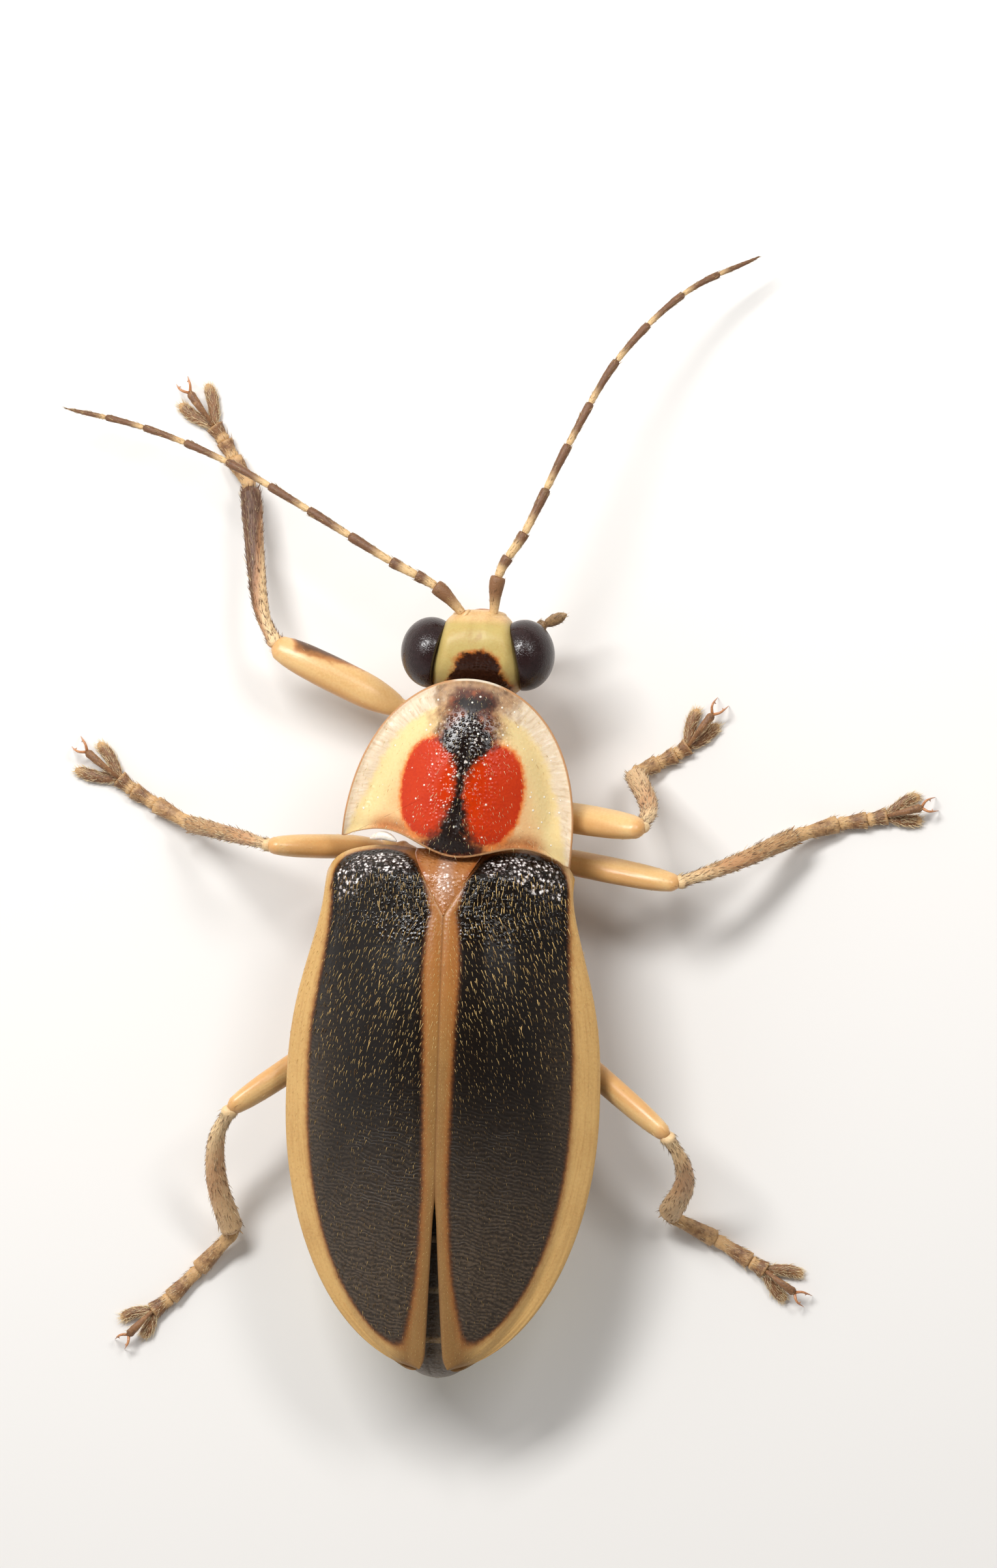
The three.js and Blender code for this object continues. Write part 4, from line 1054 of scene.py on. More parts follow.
def shield_rim(turn):
    """The outline: from the right hind corner round the front, then along the hind edge."""
    in_front = turn < SHIELD_FRONT_SHARE
    arc = np.clip(turn / SHIELD_FRONT_SHARE, 0, 1) * math.pi
    straight = mix(-1, 1, np.clip((turn - SHIELD_FRONT_SHARE) / SHIELD_HIND_SHARE, 0, 1))
    across = np.where(in_front, np.cos(arc), straight)
    hind = -0.08 + 0.145 * (1 - np.cos(np.abs(straight) * 1.63 * math.pi))
    hind = hind * (1 - smooth(np.abs(straight), 0.9, 1.0))
    y = np.where(in_front, SHIELD_LENGTH * np.abs(np.sin(arc)) ** (2 / 2.3), hind)
    return SHIELD_HALF_WIDTH * across, y


def shield_top(x, y, from_rim, from_side):
    arch = SHIELD_ARCH * np.sin(np.minimum(np.abs(x) / SHIELD_HALF_WIDTH, 1) * math.pi / 2) ** 2
    ahead = np.maximum(y - SHIELD_SLOPE_START_Y, 0) / (SHIELD_LENGTH - SHIELD_SLOPE_START_Y)
    behind = np.maximum(0.5 - y, 0) / 0.5
    z = SHIELD_CREST_Z - arch - SHIELD_FRONT_DROP * ahead**2 - SHIELD_BACK_DROP * behind**2
    sides = smooth(np.abs(x) + 0.8 * np.maximum(y - 1.8, 0), 0.7, 1.2)
    furrow = 0.06 * bell(from_side, 0.36, 0.16) * sides * smooth(y, 0.1, 1.1)
    bead = 0.03 * bell(from_rim, 0.0, 0.045)
    middle = 0.05 * bell(x, 0, 0.045) * smooth(y, 0.15, 0.5) * (1 - smooth(y, 1.5, 2.1))
    pads = 0.035 * bell(np.abs(x), 0.6, 0.38) * bell(y, 1.05, 0.7)
    return z - furrow + bead - middle + pads


def shield():
    """The pronotum as a plate with a rolled rim, and its top face placed and as drawn."""
    sides, rings, rounds = 300, 74, 4
    turn = np.arange(sides) / sides
    rim_x, rim_y = shield_rim(turn)
    share = np.maximum(1 - np.linspace(0, 1, rings) ** SHIELD_RING_POWER, 0.004)[:, None]
    x = rim_x * share
    y = SHIELD_MIDDLE_Y + (rim_y - SHIELD_MIDDLE_Y) * share
    dense = np.linspace(0, 1, 1200, endpoint=False)
    line_x, line_y = shield_rim(dense)
    front, hind = dense <= SHIELD_FRONT_SHARE, dense > SHIELD_FRONT_SHARE
    from_side = distance_to(x, y, line_x[front], line_y[front])
    from_rim = np.minimum(from_side, distance_to(x, y, line_x[hind], line_y[hind]))
    from_rim[0] = 0
    waves = uneven(x, y, 3, 0.9) * 0.008 * smooth(from_rim, 0.05, 0.3)
    top = np.stack([x, y, shield_top(x, y, from_rim, from_side) + waves], -1)
    thick = mix(0.26, 0.05, smooth(share, 0.7, 1.0))[..., None]
    bottom = top - thick * UP
    outward = unit(np.stack([rim_x, rim_y - SHIELD_MIDDLE_Y, 0 * rim_x], -1))
    lip = []
    for lean, bulge in round_steps(rounds):
        lip.append(top[0] - thick[0] * lean * UP + outward * thick[0] * bulge)
    surface = np.concatenate([top[::-1], np.stack(lip), bottom])
    x, y, rim, from_side = (
        np.concatenate([value[::-1], np.repeat(value[:1], rounds, 0), value])
        for value in (x, y, from_rim, from_side)
    )
    aside = np.abs(x)
    edge_steps = np.hypot(np.diff(rim_x, append=rim_x[:1]), np.diff(rim_y, append=rim_y[:1]))
    around = np.cumsum(edge_steps) + 0 * x
    spots = 1 - (np.abs((aside - 0.44) / 0.6) ** 2.3 + np.abs((y - 1.03) / 0.87) ** 2.3) ** (1 / 2.3)
    black = profile(y, BLACK_MARK) - np.abs(x + 0.02)
    black = soft_min([black, 2.64 - y, y + 0.06], 16.0)
    stain = profile(y, STAIN) - np.abs(x + 0.02)
    yellow = soft_min([from_side - profile(y, CLEAR_MARGIN), 2.55 - y], 12.0)
    body = ring_shell(
        from_shield(surface), red=spots * 0.6, black=black, stain=stain, yellow=yellow, rim=rim,
        around=around, ahead=y, aside=aside,
    )
    return body, from_shield(top), top


def shield_material():
    finish = Finish("shield_cuticle")
    rim, ahead, aside = finish.value("rim"), finish.value("ahead"), finish.value("aside")
    around, inward = finish.value("around"), finish.value("yellow")
    wrinkle = finish.field(finish.times(around, 10.0), finish.times(rim, 2.6), 1.6)
    clear = finish.mottle((228, 208, 180), (208, 182, 146), 0.5, 2.0, 24.0)
    # painted highlight on the crests of the wrinkles of the clear border, and painted shade in the folds
    # between them
    clear = finish.blend(clear, (244, 234, 216), finish.range(wrinkle, 0.5, 0.74, 0.0, 0.5))
    clear = finish.blend(clear, (192, 162, 124), finish.range(wrinkle, 0.48, 0.3, 0.0, 0.5))
    yellow = finish.mottle((232, 207, 150), (224, 188, 122), 0.4, 2.5, 24.0)
    peach = finish.mottle((232, 190, 136), (222, 168, 112), 0.5, 2.5, 24.0)
    band = finish.blend(yellow, peach, finish.edge(finish.minus(inward, 0.4), 0.06, 4.0, 0.18))
    hind = finish.mottle((204, 136, 80), (160, 92, 48), 0.8, 2.5, 24.0)
    rise = finish.plus(ahead, finish.times(aside, 0.2))
    hind_rim = finish.times(finish.range(rim, 0.34, 0.06), finish.range(inward, 0.15, 0.6))
    hind_rim = finish.times(hind_rim, finish.range(ahead, 1.1, 0.7))
    hind_rim = finish.most(hind_rim, finish.range(rise, 0.5, 0.2))
    band = finish.blend(band, hind, hind_rim)
    base = finish.blend(clear, band, finish.edge(inward, 0.05, 7.0, 0.07))
    smoky = finish.mottle((182, 140, 98), (96, 62, 38), 0.9, 3.0, 12.0)
    ragged = finish.range(finish.noise(4.0), 0.3, 0.7, -0.25, 0.25)
    smoke = finish.plus(finish.range(aside, 1.0, 0.3), ragged)
    smoke = finish.times(finish.range(ahead, 1.9, 2.3), finish.range(smoke, 0.15, 0.8, 0.0, 0.9))
    base = finish.blend(base, smoky, smoke)
    core = finish.times(finish.range(aside, 0.5, 0.2), finish.range(ahead, 2.86, 2.72))
    base = finish.blend(base, (88, 58, 42), finish.times(core, finish.times(smoke, 0.85)))
    red_place = finish.value("red")
    base = finish.blend(base, (230, 132, 62), finish.edge(finish.plus(red_place, 0.035), 0.03, 10.0, 0.045))
    red = finish.mottle((200, 54, 3), (180, 36, 2), 0.6, 3.0, 26.0)
    base = finish.blend(base, red, finish.edge(finish.minus(red_place, 0.005), 0.03, 12.0, 0.03))
    black_place = finish.value("black")
    rusty = finish.mottle((96, 44, 22), (44, 21, 12), 0.8, 4.0, 20.0)
    rusty = finish.blend(rusty, (150, 78, 38), finish.range(finish.noise(7.0), 0.5, 0.72, 0.0, 0.7))
    rusty_place = finish.edge(finish.value("stain"), 0.1, 6.0, 0.14)
    base = finish.blend(base, rusty, finish.times(rusty_place, finish.range(ahead, 2.9, 2.7)))
    black = finish.mottle((18, 9, 6), (44, 22, 14), 0.5, 3.0, 30.0)
    base = finish.blend(base, black, finish.edge(black_place, 0.11, 9.0, 0.07))
    lip = finish.times(finish.range(ahead, 2.8, 2.9), finish.range(aside, 0.5, 0.3))
    # painted glints: small white dots over the pits, away from the rim; the same dots also raise small
    # bumps
    glint_dots = finish.cells(5.6)
    specks = finish.times(finish.range(glint_dots, 0.13, 0.08), finish.range(rim, 0.1, 0.2, 0.0, 0.8))
    base = finish.blend(base, (252, 246, 232), specks)
    # painted glints: near-white beads scattered along the middle of the disc
    glint_beads = finish.uneven_cells(11.0, 0.14)
    middle = finish.times(finish.range(aside, 0.34, 0.16), finish.range(ahead, 0.9, 1.3))
    middle = finish.times(middle, finish.range(ahead, 2.5, 2.1))
    glint_beads = finish.times(finish.range(glint_beads, 0.36, 0.16), finish.range(finish.noise(5.0), 0.42, 0.56))
    base = finish.blend(base, (236, 226, 218), finish.times(glint_beads, finish.times(middle, 0.85)))
    # painted highlight: the rim is painted pale along the middle of the front lip
    rim_colour_and_lip_glint = finish.blend((186, 138, 94), (214, 198, 176), lip)
    colour = finish.blend(rim_colour_and_lip_glint, base, finish.range(rim, 0.0, 0.02))
    pits = finish.granules(15.0, 0.2, 60.0)
    disc = finish.times(finish.range(aside, 0.9, 0.3, 0.3, 1.0), finish.range(inward, -0.02, 0.1))
    plain = finish.range(ahead, 2.2, 2.5)
    folds = finish.times(wrinkle, finish.range(inward, 0.12, -0.05, 0.0, 1.0))
    relief = finish.plus(finish.times(pits, disc), folds)
    finish.bump(finish.plus(relief, specks), 0.007)
    shine = finish.times(finish.range(aside, 0.55, 0.15), finish.range(ahead, 0.5, 0.9))
    shine = finish.times(shine, finish.range(inward, -0.02, 0.1))
    dull, glossy = finish.range(plain, 0.0, 1.0, 0.3, 0.6), finish.range(plain, 0.0, 1.0, 0.15, 0.45)
    rough = finish.range(shine, 0.0, 1.0, dull, glossy)
    return finish.done(colour, rough, glow=0.12, glow_depth=0.15, specular=0.4)


def shield_hair_roots(top, flat):
    draw = np.random.default_rng(31)
    rings, sides = top.shape[:2]
    wanted = 900
    share = np.sqrt(draw.random(wanted))
    i = np.clip(((1 - share) ** (1 / SHIELD_RING_POWER) * rings).astype(int), 1, rings - 2)
    j = draw.integers(0, sides, wanted)
    points = top[i, j]
    along = unit(np.gradient(top, axis=0)[i, j])
    beside = unit(np.gradient(top, axis=1)[i, j])
    normal = unit(np.cross(along, beside))
    normal = normal * np.sign(normal[:, 2:3])
    spread = np.column_stack([np.sign(flat[i, j, 0]), 0 * share, 0 * share])
    back = np.array([0.0, -1.0, 0.0]) + 0.35 * spread
    lie = unit(back - normal * (back * normal).sum(1, keepdims=True)) + 0.35 * normal
    lie = lie + draw.normal(0, 0.12, lie.shape)
    tone = np.clip(0.7 + 0.2 * draw.normal(size=wanted), 0, 1)
    patch = np.column_stack([(points[:, 0] + 2.5) / 6, (points[:, 1] + 0.5) / 6])
    return roots_on(points, normal, lie, 1 + 0.2 * draw.normal(size=wanted), patch, tone)


def add_shield():
    body, top, flat = shield()
    settle(make_piece("pronotum_shield", body, shield_material()), "pronotum_cuticle", "pronotum")
    hair = hair_finish("pale_hair", (170, 130, 70), (250, 226, 170))
    roots = shield_hair_roots(top, flat)
    settle(grow_hairs("pronotum_hairs", roots, hair, 0.05, 0.006, 0.3, 3, 0.25, 9), "pronotum_cuticle")


# Head

HEAD_X = 0.35
EYE_CENTRE = np.array([0.8, 3.41, 2.1])
EYE_RADII = np.array([0.52, 0.61, 0.6])
EYE_BACK = unit(np.array([0.972, 0.233, -0.15]))
EYE_BACK_DEPTH = 0.19
HEAD_TABLE = [
    # y, half width, top, bottom, how boxy the upper half is
    (2.45, 0.46, 2.05, 1.5, 2.4),
    (2.7, 0.6, 2.22, 1.38, 2.6),
    (2.9, 0.8, 2.46, 1.24, 3.4),
    (3.05, 0.8, 2.58, 1.16, 4.2),
    (3.25, 0.76, 2.67, 1.12, 4.8),
    (3.45, 0.71, 2.7, 1.1, 4.8),
    (3.7, 0.65, 2.69, 1.12, 4.2),
    (3.88, 0.6, 2.62, 1.17, 3.4),
    (4.0, 0.54, 2.5, 1.28, 2.8),
    (4.08, 0.46, 2.38, 1.42, 2.5),
]


MANDIBLE = [(0.3, 3.7, 1.26), (0.33, 3.9, 1.2), (0.27, 4.02, 1.13), (0.12, 4.08, 1.08), (0.0, 4.06, 1.06)]
# half widths of the dark mark at the back of the crown, at places y
CROWN_MARK = [(2.4, 0.6), (2.95, 0.5), (3.03, 0.43), (3.12, 0.39), (3.22, 0.36), (3.32, 0.31), (3.4, 0.24),
              (3.46, 0.14), (3.56, 0.0), (4.3, -0.4)]


def head_shape():
    """The head capsule, with its furrow, brow ridges and the dark mark of the crown."""
    table = np.array(HEAD_TABLE)
    rows, sides, caps = 120, 160, 14
    reach = np.linspace(table[0, 0], table[-1, 0], rows)
    half, top, bottom, boxy = (
        profile(reach, np.column_stack([table[:, 0], column])) for column in table.T[1:]
    )
    turn = np.linspace(0, math.pi / 2, caps + 1)[1:] * 0.97
    shrink = np.cos(turn) ** 0.7
    middle = (top[-1] + bottom[-1]) / 2
    reach = np.concatenate([reach, reach[-1] + 0.09 * np.sin(turn)])
    half = np.concatenate([half, half[-1] * shrink])
    top = np.concatenate([top, middle + (top[-1] - middle) * shrink])
    bottom = np.concatenate([bottom, middle + (bottom[-1] - middle) * shrink])
    boxy = np.concatenate([boxy, np.full(caps, boxy[-1])])
    cosine, sine = (part[None, :] for part in circle_of(sides, 0.5))
    power = np.where(sine > 0, 2 / boxy[:, None], 1.0)
    x = np.sign(cosine) * np.abs(cosine) ** power * half[:, None]
    x = x * np.where(sine < 0, 1 - 0.25 * np.abs(sine), 1)
    z = (top + bottom)[:, None] / 2 + (top - bottom)[:, None] / 2 * np.sign(sine) * np.abs(sine) ** power
    y = np.repeat(reach[:, None], sides, 1)
    up = smooth(z, 1.9, 2.4)
    z = z - 0.045 * bell(x, 0, 0.09) * smooth(y, 3.45, 3.8) * up
    z = z - 0.05 * bell(np.abs(x), 0.3, 0.13) * bell(y, 3.93, 0.14) * up
    z = z + 0.02 * bell(np.abs(x), 0.52, 0.1) * smooth(y, 3.0, 3.3) * up
    z = z + uneven(x, y, 8, 1.2) * 0.006 * up
    dark = soft_min([(profile(y, CROWN_MARK) - np.abs(x - 0.03)) * 0.8, 3.47 - y], 18.0)
    points = np.stack([HEAD_X + x, y, z], -1)
    return ring_shell(points, dark=dark, ahead=y, aside=np.abs(x), up=z)


def socket_ring(centre, direction, radius, thick):
    """A small raised ring, as round the root of an antenna."""
    turn = np.arange(25) / 24 * 2 * math.pi
    axis = unit(np.asarray(direction, float))
    side = unit(np.cross(axis, (0.0, 0.0, 1.0)))
    lift = np.cross(side, axis)
    circle = np.asarray(centre) + radius * (np.cos(turn)[:, None] * side + np.sin(turn)[:, None] * lift)
    return tube(circle, thick, thick, 8, up=axis)


def mouth_shape():
    """Labrum, cheeks and the two curved mandibles below the face."""
    parts = [ball((HEAD_X, 4.0, 1.36), (0.34, 0.2, 0.17)), ball((HEAD_X, 4.02, 1.56), (0.38, 0.13, 0.14))]
    for side in SIDES.values():
        centres = curve_through([(HEAD_X + side * x, y, z) for x, y, z in MANDIBLE], 24)
        share = np.linspace(0, 1, 24)
        thick = mix(0.12, 0.016, share**0.9)
        parts.append(tube(centres, thick, thick * 0.8, 14))
    return gather(parts)


def eye_shape(side):
    """A bulging eye, flat where it sits against the head."""
    rows, sides = 64, 96
    axis = EYE_BACK * (side, 1, 1) * EYE_RADII
    inner = unit(axis)
    depth = EYE_BACK_DEPTH / np.linalg.norm(axis)
    widest = math.acos(-depth)
    near_rim = widest - 0.05 + 0.05 * np.linspace(0.25, 1, 4)
    fall = np.concatenate([np.linspace(0.02, widest - 0.05, rows), near_rim, np.full(3, widest)])
    scale = np.concatenate([np.ones(rows), [1, 0.995, 0.98, 0.95, 0.85, 0.5, 0.1]])
    across = unit(np.cross(inner, (0.0, 0.0, 1.0)))
    lift = np.cross(across, inner)
    cosine, sine = circle_of(sides)
    ring = cosine[:, None] * across + sine[:, None] * lift
    round_wall = np.sin(fall)[:, None, None] * scale[:, None, None] * ring[None]
    sphere = round_wall + np.cos(fall)[:, None, None] * inner
    centre = np.array([HEAD_X, 0, 0]) + EYE_CENTRE * (side, 1, 1)
    return ring_shell(centre + sphere * EYE_RADII)


def head_material():
    finish = Finish("head_cuticle")
    ahead, aside, up = finish.value("ahead"), finish.value("aside"), finish.value("up")
    frons = finish.mottle((192, 170, 104), (178, 142, 76), 0.5, 2.4, 26.0)
    beside = finish.range(finish.math("ABSOLUTE", finish.minus(aside, 0.08)), 0.06, 0.0)
    between = finish.times(finish.range(ahead, 3.46, 3.62), finish.range(ahead, 3.84, 3.66))
    marks = finish.times(beside, between)
    marks = finish.times(marks, finish.range(finish.noise(9.0), 0.35, 0.65))
    frons = finish.blend(frons, (164, 122, 70), finish.times(marks, 0.8))
    front = finish.mottle((222, 186, 130), (190, 140, 90), 0.6, 4.0, 26.0)
    face = finish.blend(frons, front, finish.range(ahead, 3.88, 4.02))
    lower = finish.mottle((222, 190, 140), (190, 140, 96), 0.6, 3.0, 26.0)
    face = finish.blend(face, lower, finish.range(up, 2.2, 1.7))
    fringe = finish.edge(finish.plus(finish.value("dark"), 0.04), 0.06, 7.0, 0.07)
    face = finish.blend(face, (176, 98, 38), fringe)
    patch = finish.mottle((42, 20, 12), (66, 36, 22), 0.6, 3.0, 30.0)
    colour = finish.blend(face, patch, finish.edge(finish.value("dark"), 0.06, 8.0, 0.04))
    grains = finish.granules(13.0, 0.3, 60.0)
    rough = finish.range(finish.value("dark"), -0.1, 0.05)
    relief = finish.times(grains, finish.range(rough, 0.0, 1.0, 0.14, 1.0))
    finish.bump(relief, 0.008)
    gloss = finish.range(rough, 0.0, 1.0, 0.44, 0.18)
    return finish.done(colour, gloss, glow=0.2, glow_depth=0.15, specular=0.4)


def eye_material():
    finish = Finish("eye_cuticle")
    colour = finish.mottle((34, 20, 19), (54, 36, 36), 0.6, 2.0, 14.0)
    facets = finish.granules(38.0, 0.05, 80.0)
    finish.bump(facets, 0.0025)
    return finish.done(colour, 0.2, specular=0.42)


def add_head():
    settle(make_piece("head_skin", head_shape(), head_material()), "head_cuticle", "head")
    rings = []
    for label in SIDES:
        root, ahead = np.array(ANTENNAE[label][:2])
        forward = ahead - root
        rings.append(socket_ring(root - unit(forward) * 0.05, forward, 0.1, 0.03))
    mouth = plain_finish("mouth_cuticle", (196, 130, 76), (136, 76, 40), (0.7, 4.0, 26.0), (30.0, 0.01),
                         0.34, (0.15, 0.1))
    settle(make_piece("mouth_parts", mouth_shape(), mouth), "head_cuticle")
    pale = plain_finish("socket_cuticle", (224, 190, 138), (196, 150, 98), (0.6, 4.0, 26.0), None, 0.45,
                        (0.1, 0.08))
    settle(make_piece("antenna_sockets", gather(rings), pale), "head_cuticle")
    eye = eye_material()
    for label, side in SIDES.items():
        settle(make_piece("eye_skin_" + label, eye_shape(side), eye), "eye", "eye_" + label)


# Antennae and palps

ANTENNAE = {
    "left": [(0.08, 4.1, 2.27), (-0.39, 4.54, 2.35), (-1.22, 4.97, 2.3), (-2.74, 5.84, 2.05),
             (-4.18, 6.61, 1.7), (-5.64, 7.15, 1.25), (-7.08, 7.46, 0.75)],
    "right": [(0.61, 4.1, 2.25), (0.71, 4.82, 2.35), (1.14, 5.57, 2.3), (1.82, 7.1, 2.05),
              (2.58, 8.55, 1.7), (3.65, 9.72, 1.25), (4.89, 10.41, 0.75)],
}
# length, width and pale share of each segment, from the head outwards
ANTENNA_SEGMENTS = [0.66, 0.37, 0.5, 0.85, 0.85, 0.82, 0.88, 0.85, 0.82, 0.74, 0.8]
ANTENNA_WIDTHS = [0.27, 0.2, 0.195, 0.175, 0.165, 0.155, 0.148, 0.14, 0.13, 0.12, 0.115]
ANTENNA_PALE = [0.3, 0.5, 0.6, 0.34, 0.27, 0.24, 0.24, 0.24, 0.22, 0.2, 0.12]
PALPS = {
    "left": [(-0.25, 3.68, 1.05), (-0.38, 3.78, 0.86), (-0.42, 3.84, 0.64), (-0.36, 3.84, 0.36)],
    "right": [(1.0, 3.72, 1.02), (1.15, 3.86, 1.0), (1.36, 3.94, 1.2), (1.8, 4.14, 1.5)],
}
PALP_SWELL = [(0, 0.09), (0.16, 0.115), (0.28, 0.11), (0.33, 0.065), (0.38, 0.08), (0.5, 0.095),
              (0.545, 0.055), (0.6, 0.075), (0.76, 0.1), (0.92, 0.07), (1, 0.02)]


# one cone-shaped segment, rounded at both ends: places along it, and widths as shares of its base
SEGMENT_PLACES = np.array([0, 0.02, 0.06, 0.2, 0.45, 0.7, 0.86, 0.94, 0.985, 1.0])
SEGMENT_BASE = 0.74
SEGMENT_SWELL = np.concatenate([
    [0.8, 0.96, 1.02, 1.06, 1.12], 1.0 / SEGMENT_BASE * np.array([0.93, 1.0, 0.98, 0.9]), [0.84],
])


def antenna_shape(side):
    route = np.array(ANTENNAE[side])
    fine = curve_through(route, 600)
    total = np.linalg.norm(np.diff(fine, axis=0), axis=1).sum()
    lengths = np.array(ANTENNA_SEGMENTS) * total / sum(ANTENNA_SEGMENTS)
    reach, halves = [], []
    start = 0.0
    for k, length in enumerate(lengths):
        along = SEGMENT_PLACES * length
        half = SEGMENT_SWELL * SEGMENT_BASE * ANTENNA_WIDTHS[k] / 2
        if k == 0:
            half = half * np.interp(along / length, [0, 0.3, 0.7, 1], [0.72, 0.82, 1.02, 1])
        if k == len(lengths) - 1:
            half = half * np.interp(along / length, [0, 0.55, 1], [1, 0.85, 0.12])
        reach.append(start + along * 0.985)
        halves.append(half)
        start += length
    path = read_rows(np.concatenate(reach), np.linspace(0, total, len(fine)), fine)
    half = np.concatenate(halves)
    stations = len(SEGMENT_PLACES)
    body = tube(
        path, half, half * 0.85, 14,
        share=np.tile(SEGMENT_PLACES, len(lengths)), pale=np.repeat(ANTENNA_PALE, stations),
        number=np.repeat(np.arange(len(lengths)) / 10.0, stations),
    )
    return body, path, half


def limb_hair_roots(path, half, flat, count, seed, lean, tone, patch_at, size=1.0, up=UP):
    """Hair roots scattered round a limb, whose height is flat times its width."""
    draw = np.random.default_rng(seed)
    places = travelled(path)
    reach = draw.random(count) * places[-1]
    turn = draw.random(count) * 2 * math.pi
    along, beside, above = (read_rows(reach, places, rows) for rows in frames_along(path, up))
    across, upward = beside * np.cos(turn)[:, None], above * np.sin(turn)[:, None]
    outward = unit(across + upward)
    wide = np.interp(reach, places, half)
    points = read_rows(reach, places, path) + (across + upward * flat) * wide[:, None] * 0.97
    lie = unit(along) * lean + outward * (1 - lean)
    share = reach / places[-1]
    patch = np.column_stack([patch_at[0] + share * 0.2, patch_at[1] + turn / (2 * math.pi) * 0.1])
    tones = np.clip(tone + 0.28 * draw.normal(size=count), 0, 1)
    return roots_on(points, outward, lie, size * (1 + 0.2 * draw.normal(size=count)), patch, tones)


def antenna_material():
    finish = Finish("antenna_cuticle")
    pale = finish.mottle((228, 194, 142), (198, 154, 100), 0.6, 4.0, 30.0)
    dark = finish.mottle((124, 84, 54), (88, 58, 37), 0.6, 4.0, 30.0)
    scape = finish.math("LESS_THAN", finish.value("number"), 0.05)
    beyond = finish.minus(finish.value("share"), finish.value("pale"))
    soft = finish.range(scape, 0.0, 1.0, 0.2, 0.32)
    shade = finish.range(beyond, finish.times(soft, -1.0), soft)
    dark = finish.blend(dark, (138, 96, 60), finish.times(scape, 0.7))
    colour = finish.blend(pale, dark, shade)
    finish.bump(finish.noise(45.0), 0.008)
    return finish.done(colour, 0.5, glow=0.15, glow_depth=0.06)


def add_antennae():
    finish = antenna_material()
    palp_finish = plain_finish("palp_cuticle", (168, 136, 96), (92, 68, 44), (0.9, 6.0, 26.0),
                               (30.0, 0.012), 0.5, (0.15, 0.08))
    down = hair_finish("down", (96, 70, 44), (206, 172, 120))
    coat = []
    for number, label in enumerate(SIDES):
        body, path, half = antenna_shape(label)
        settle(make_piece("antenna_skin_" + label, body, finish), "antenna", "antenna_" + label)
        row = 0.1 + 0.3 * number
        coat.append(limb_hair_roots(path, half, 0.85, 1500, 40 + number, lean=0.8, tone=0.4,
                                    patch_at=(0.1, row)))
        route = curve_through(PALPS[label], 60)
        share = np.linspace(0, 1, 60)
        swell = profile(share, PALP_SWELL)
        palp = tube(route, swell, swell * 0.85, 18)
        settle(make_piece("palp_skin_" + label, palp, palp_finish), "mouthpart", "palp_" + label)
        coat.append(limb_hair_roots(route, swell, 0.85, 160, 44 + number, lean=0.7, tone=0.5,
                                    patch_at=(0.5, row)))
    settle(grow_hairs("antenna_down", join_roots(coat), down, 0.06, 0.007, 0.2, 3, 0.3, 12), "antenna")


# Legs

LEGS = {
    "front_left": dict(
        coxa=(-0.3, 1.35, 1.35), hip=(-0.72, 2.3, 1.05), knee=(-3.22, 3.45, 1.15),
        shin=[(-3.56, 4.2, 0.93)],
        ankle=(-3.85, 6.2, 0.42), foot=[(-4.2, 6.7), (-4.37, 7.0), (-4.56, 7.26)],
        lobes=[(-5.17, 7.62), (-4.7, 7.98)], claws=(-5.07, 7.93)),
    "front_right": dict(
        coxa=(0.35, 1.2, 1.35), hip=(0.8, 0.8, 0.84), knee=(3.27, 0.51, 2.5), shin=[(3.32, 0.88, 1.5)],
        ankle=(2.98, 1.45, 0.45), foot=[(3.35, 1.63), (3.67, 1.8), (3.88, 1.95)],
        lobes=[(4.02, 2.6), (4.37, 2.35)], claws=(4.37, 2.63)),
    "middle_left": dict(
        coxa=(-0.5, -0.5, 1.15), hip=(-1.06, 0.05, 0.82), knee=(-3.08, 0.02, 2.3),
        shin=[(-3.88, 0.18, 1.35)],
        ankle=(-4.72, 0.33, 0.45), foot=[(-5.38, 0.66), (-5.78, 0.89), (-6.03, 1.09)],
        lobes=[(-6.8, 1.21), (-6.41, 1.69)], claws=(-6.7, 1.62)),
    "middle_right": dict(
        coxa=(0.5, -0.5, 1.15), hip=(1.0, 0.05, 0.82), knee=(3.85, -0.41, 1.75), shin=[(4.77, -0.05, 1.15)],
        ankle=(5.8, 0.46, 0.45), foot=[(6.52, 0.69), (7.02, 0.77), (7.36, 0.85)],
        lobes=[(7.9, 1.21), (7.95, 0.8)], claws=(8.07, 1.05)),
    "hind_left": dict(
        coxa=(-0.5, -2.45, 1.1), hip=(-1.2, -2.7, 0.66), knee=(-3.66, -4.5, 1.95),
        shin=[(-3.95, -5.05, 1.55), (-3.98, -5.85, 1.0)],
        ankle=(-3.74, -6.71, 0.45), foot=[(-4.37, -7.41), (-4.85, -7.92), (-5.15, -8.16)],
        lobes=[(-5.7, -8.31), (-5.32, -8.62)], claws=(-5.62, -8.66)),
    "hind_right": dict(
        coxa=(0.5, -2.45, 1.1), hip=(1.3, -2.78, 0.66), knee=(3.84, -4.69, 2.3),
        shin=[(4.1, -5.15, 1.95), (4.12, -5.6, 1.35)],
        ankle=(3.8, -6.15, 0.45), foot=[(4.63, -6.56), (5.24, -6.92), (5.5, -7.07)],
        lobes=[(6.14, -7.12), (5.86, -7.57)], claws=(6.13, -7.5)),
}
FEMUR_WIDTHS = {"front": 0.62, "middle": 0.53, "hind": 0.5}
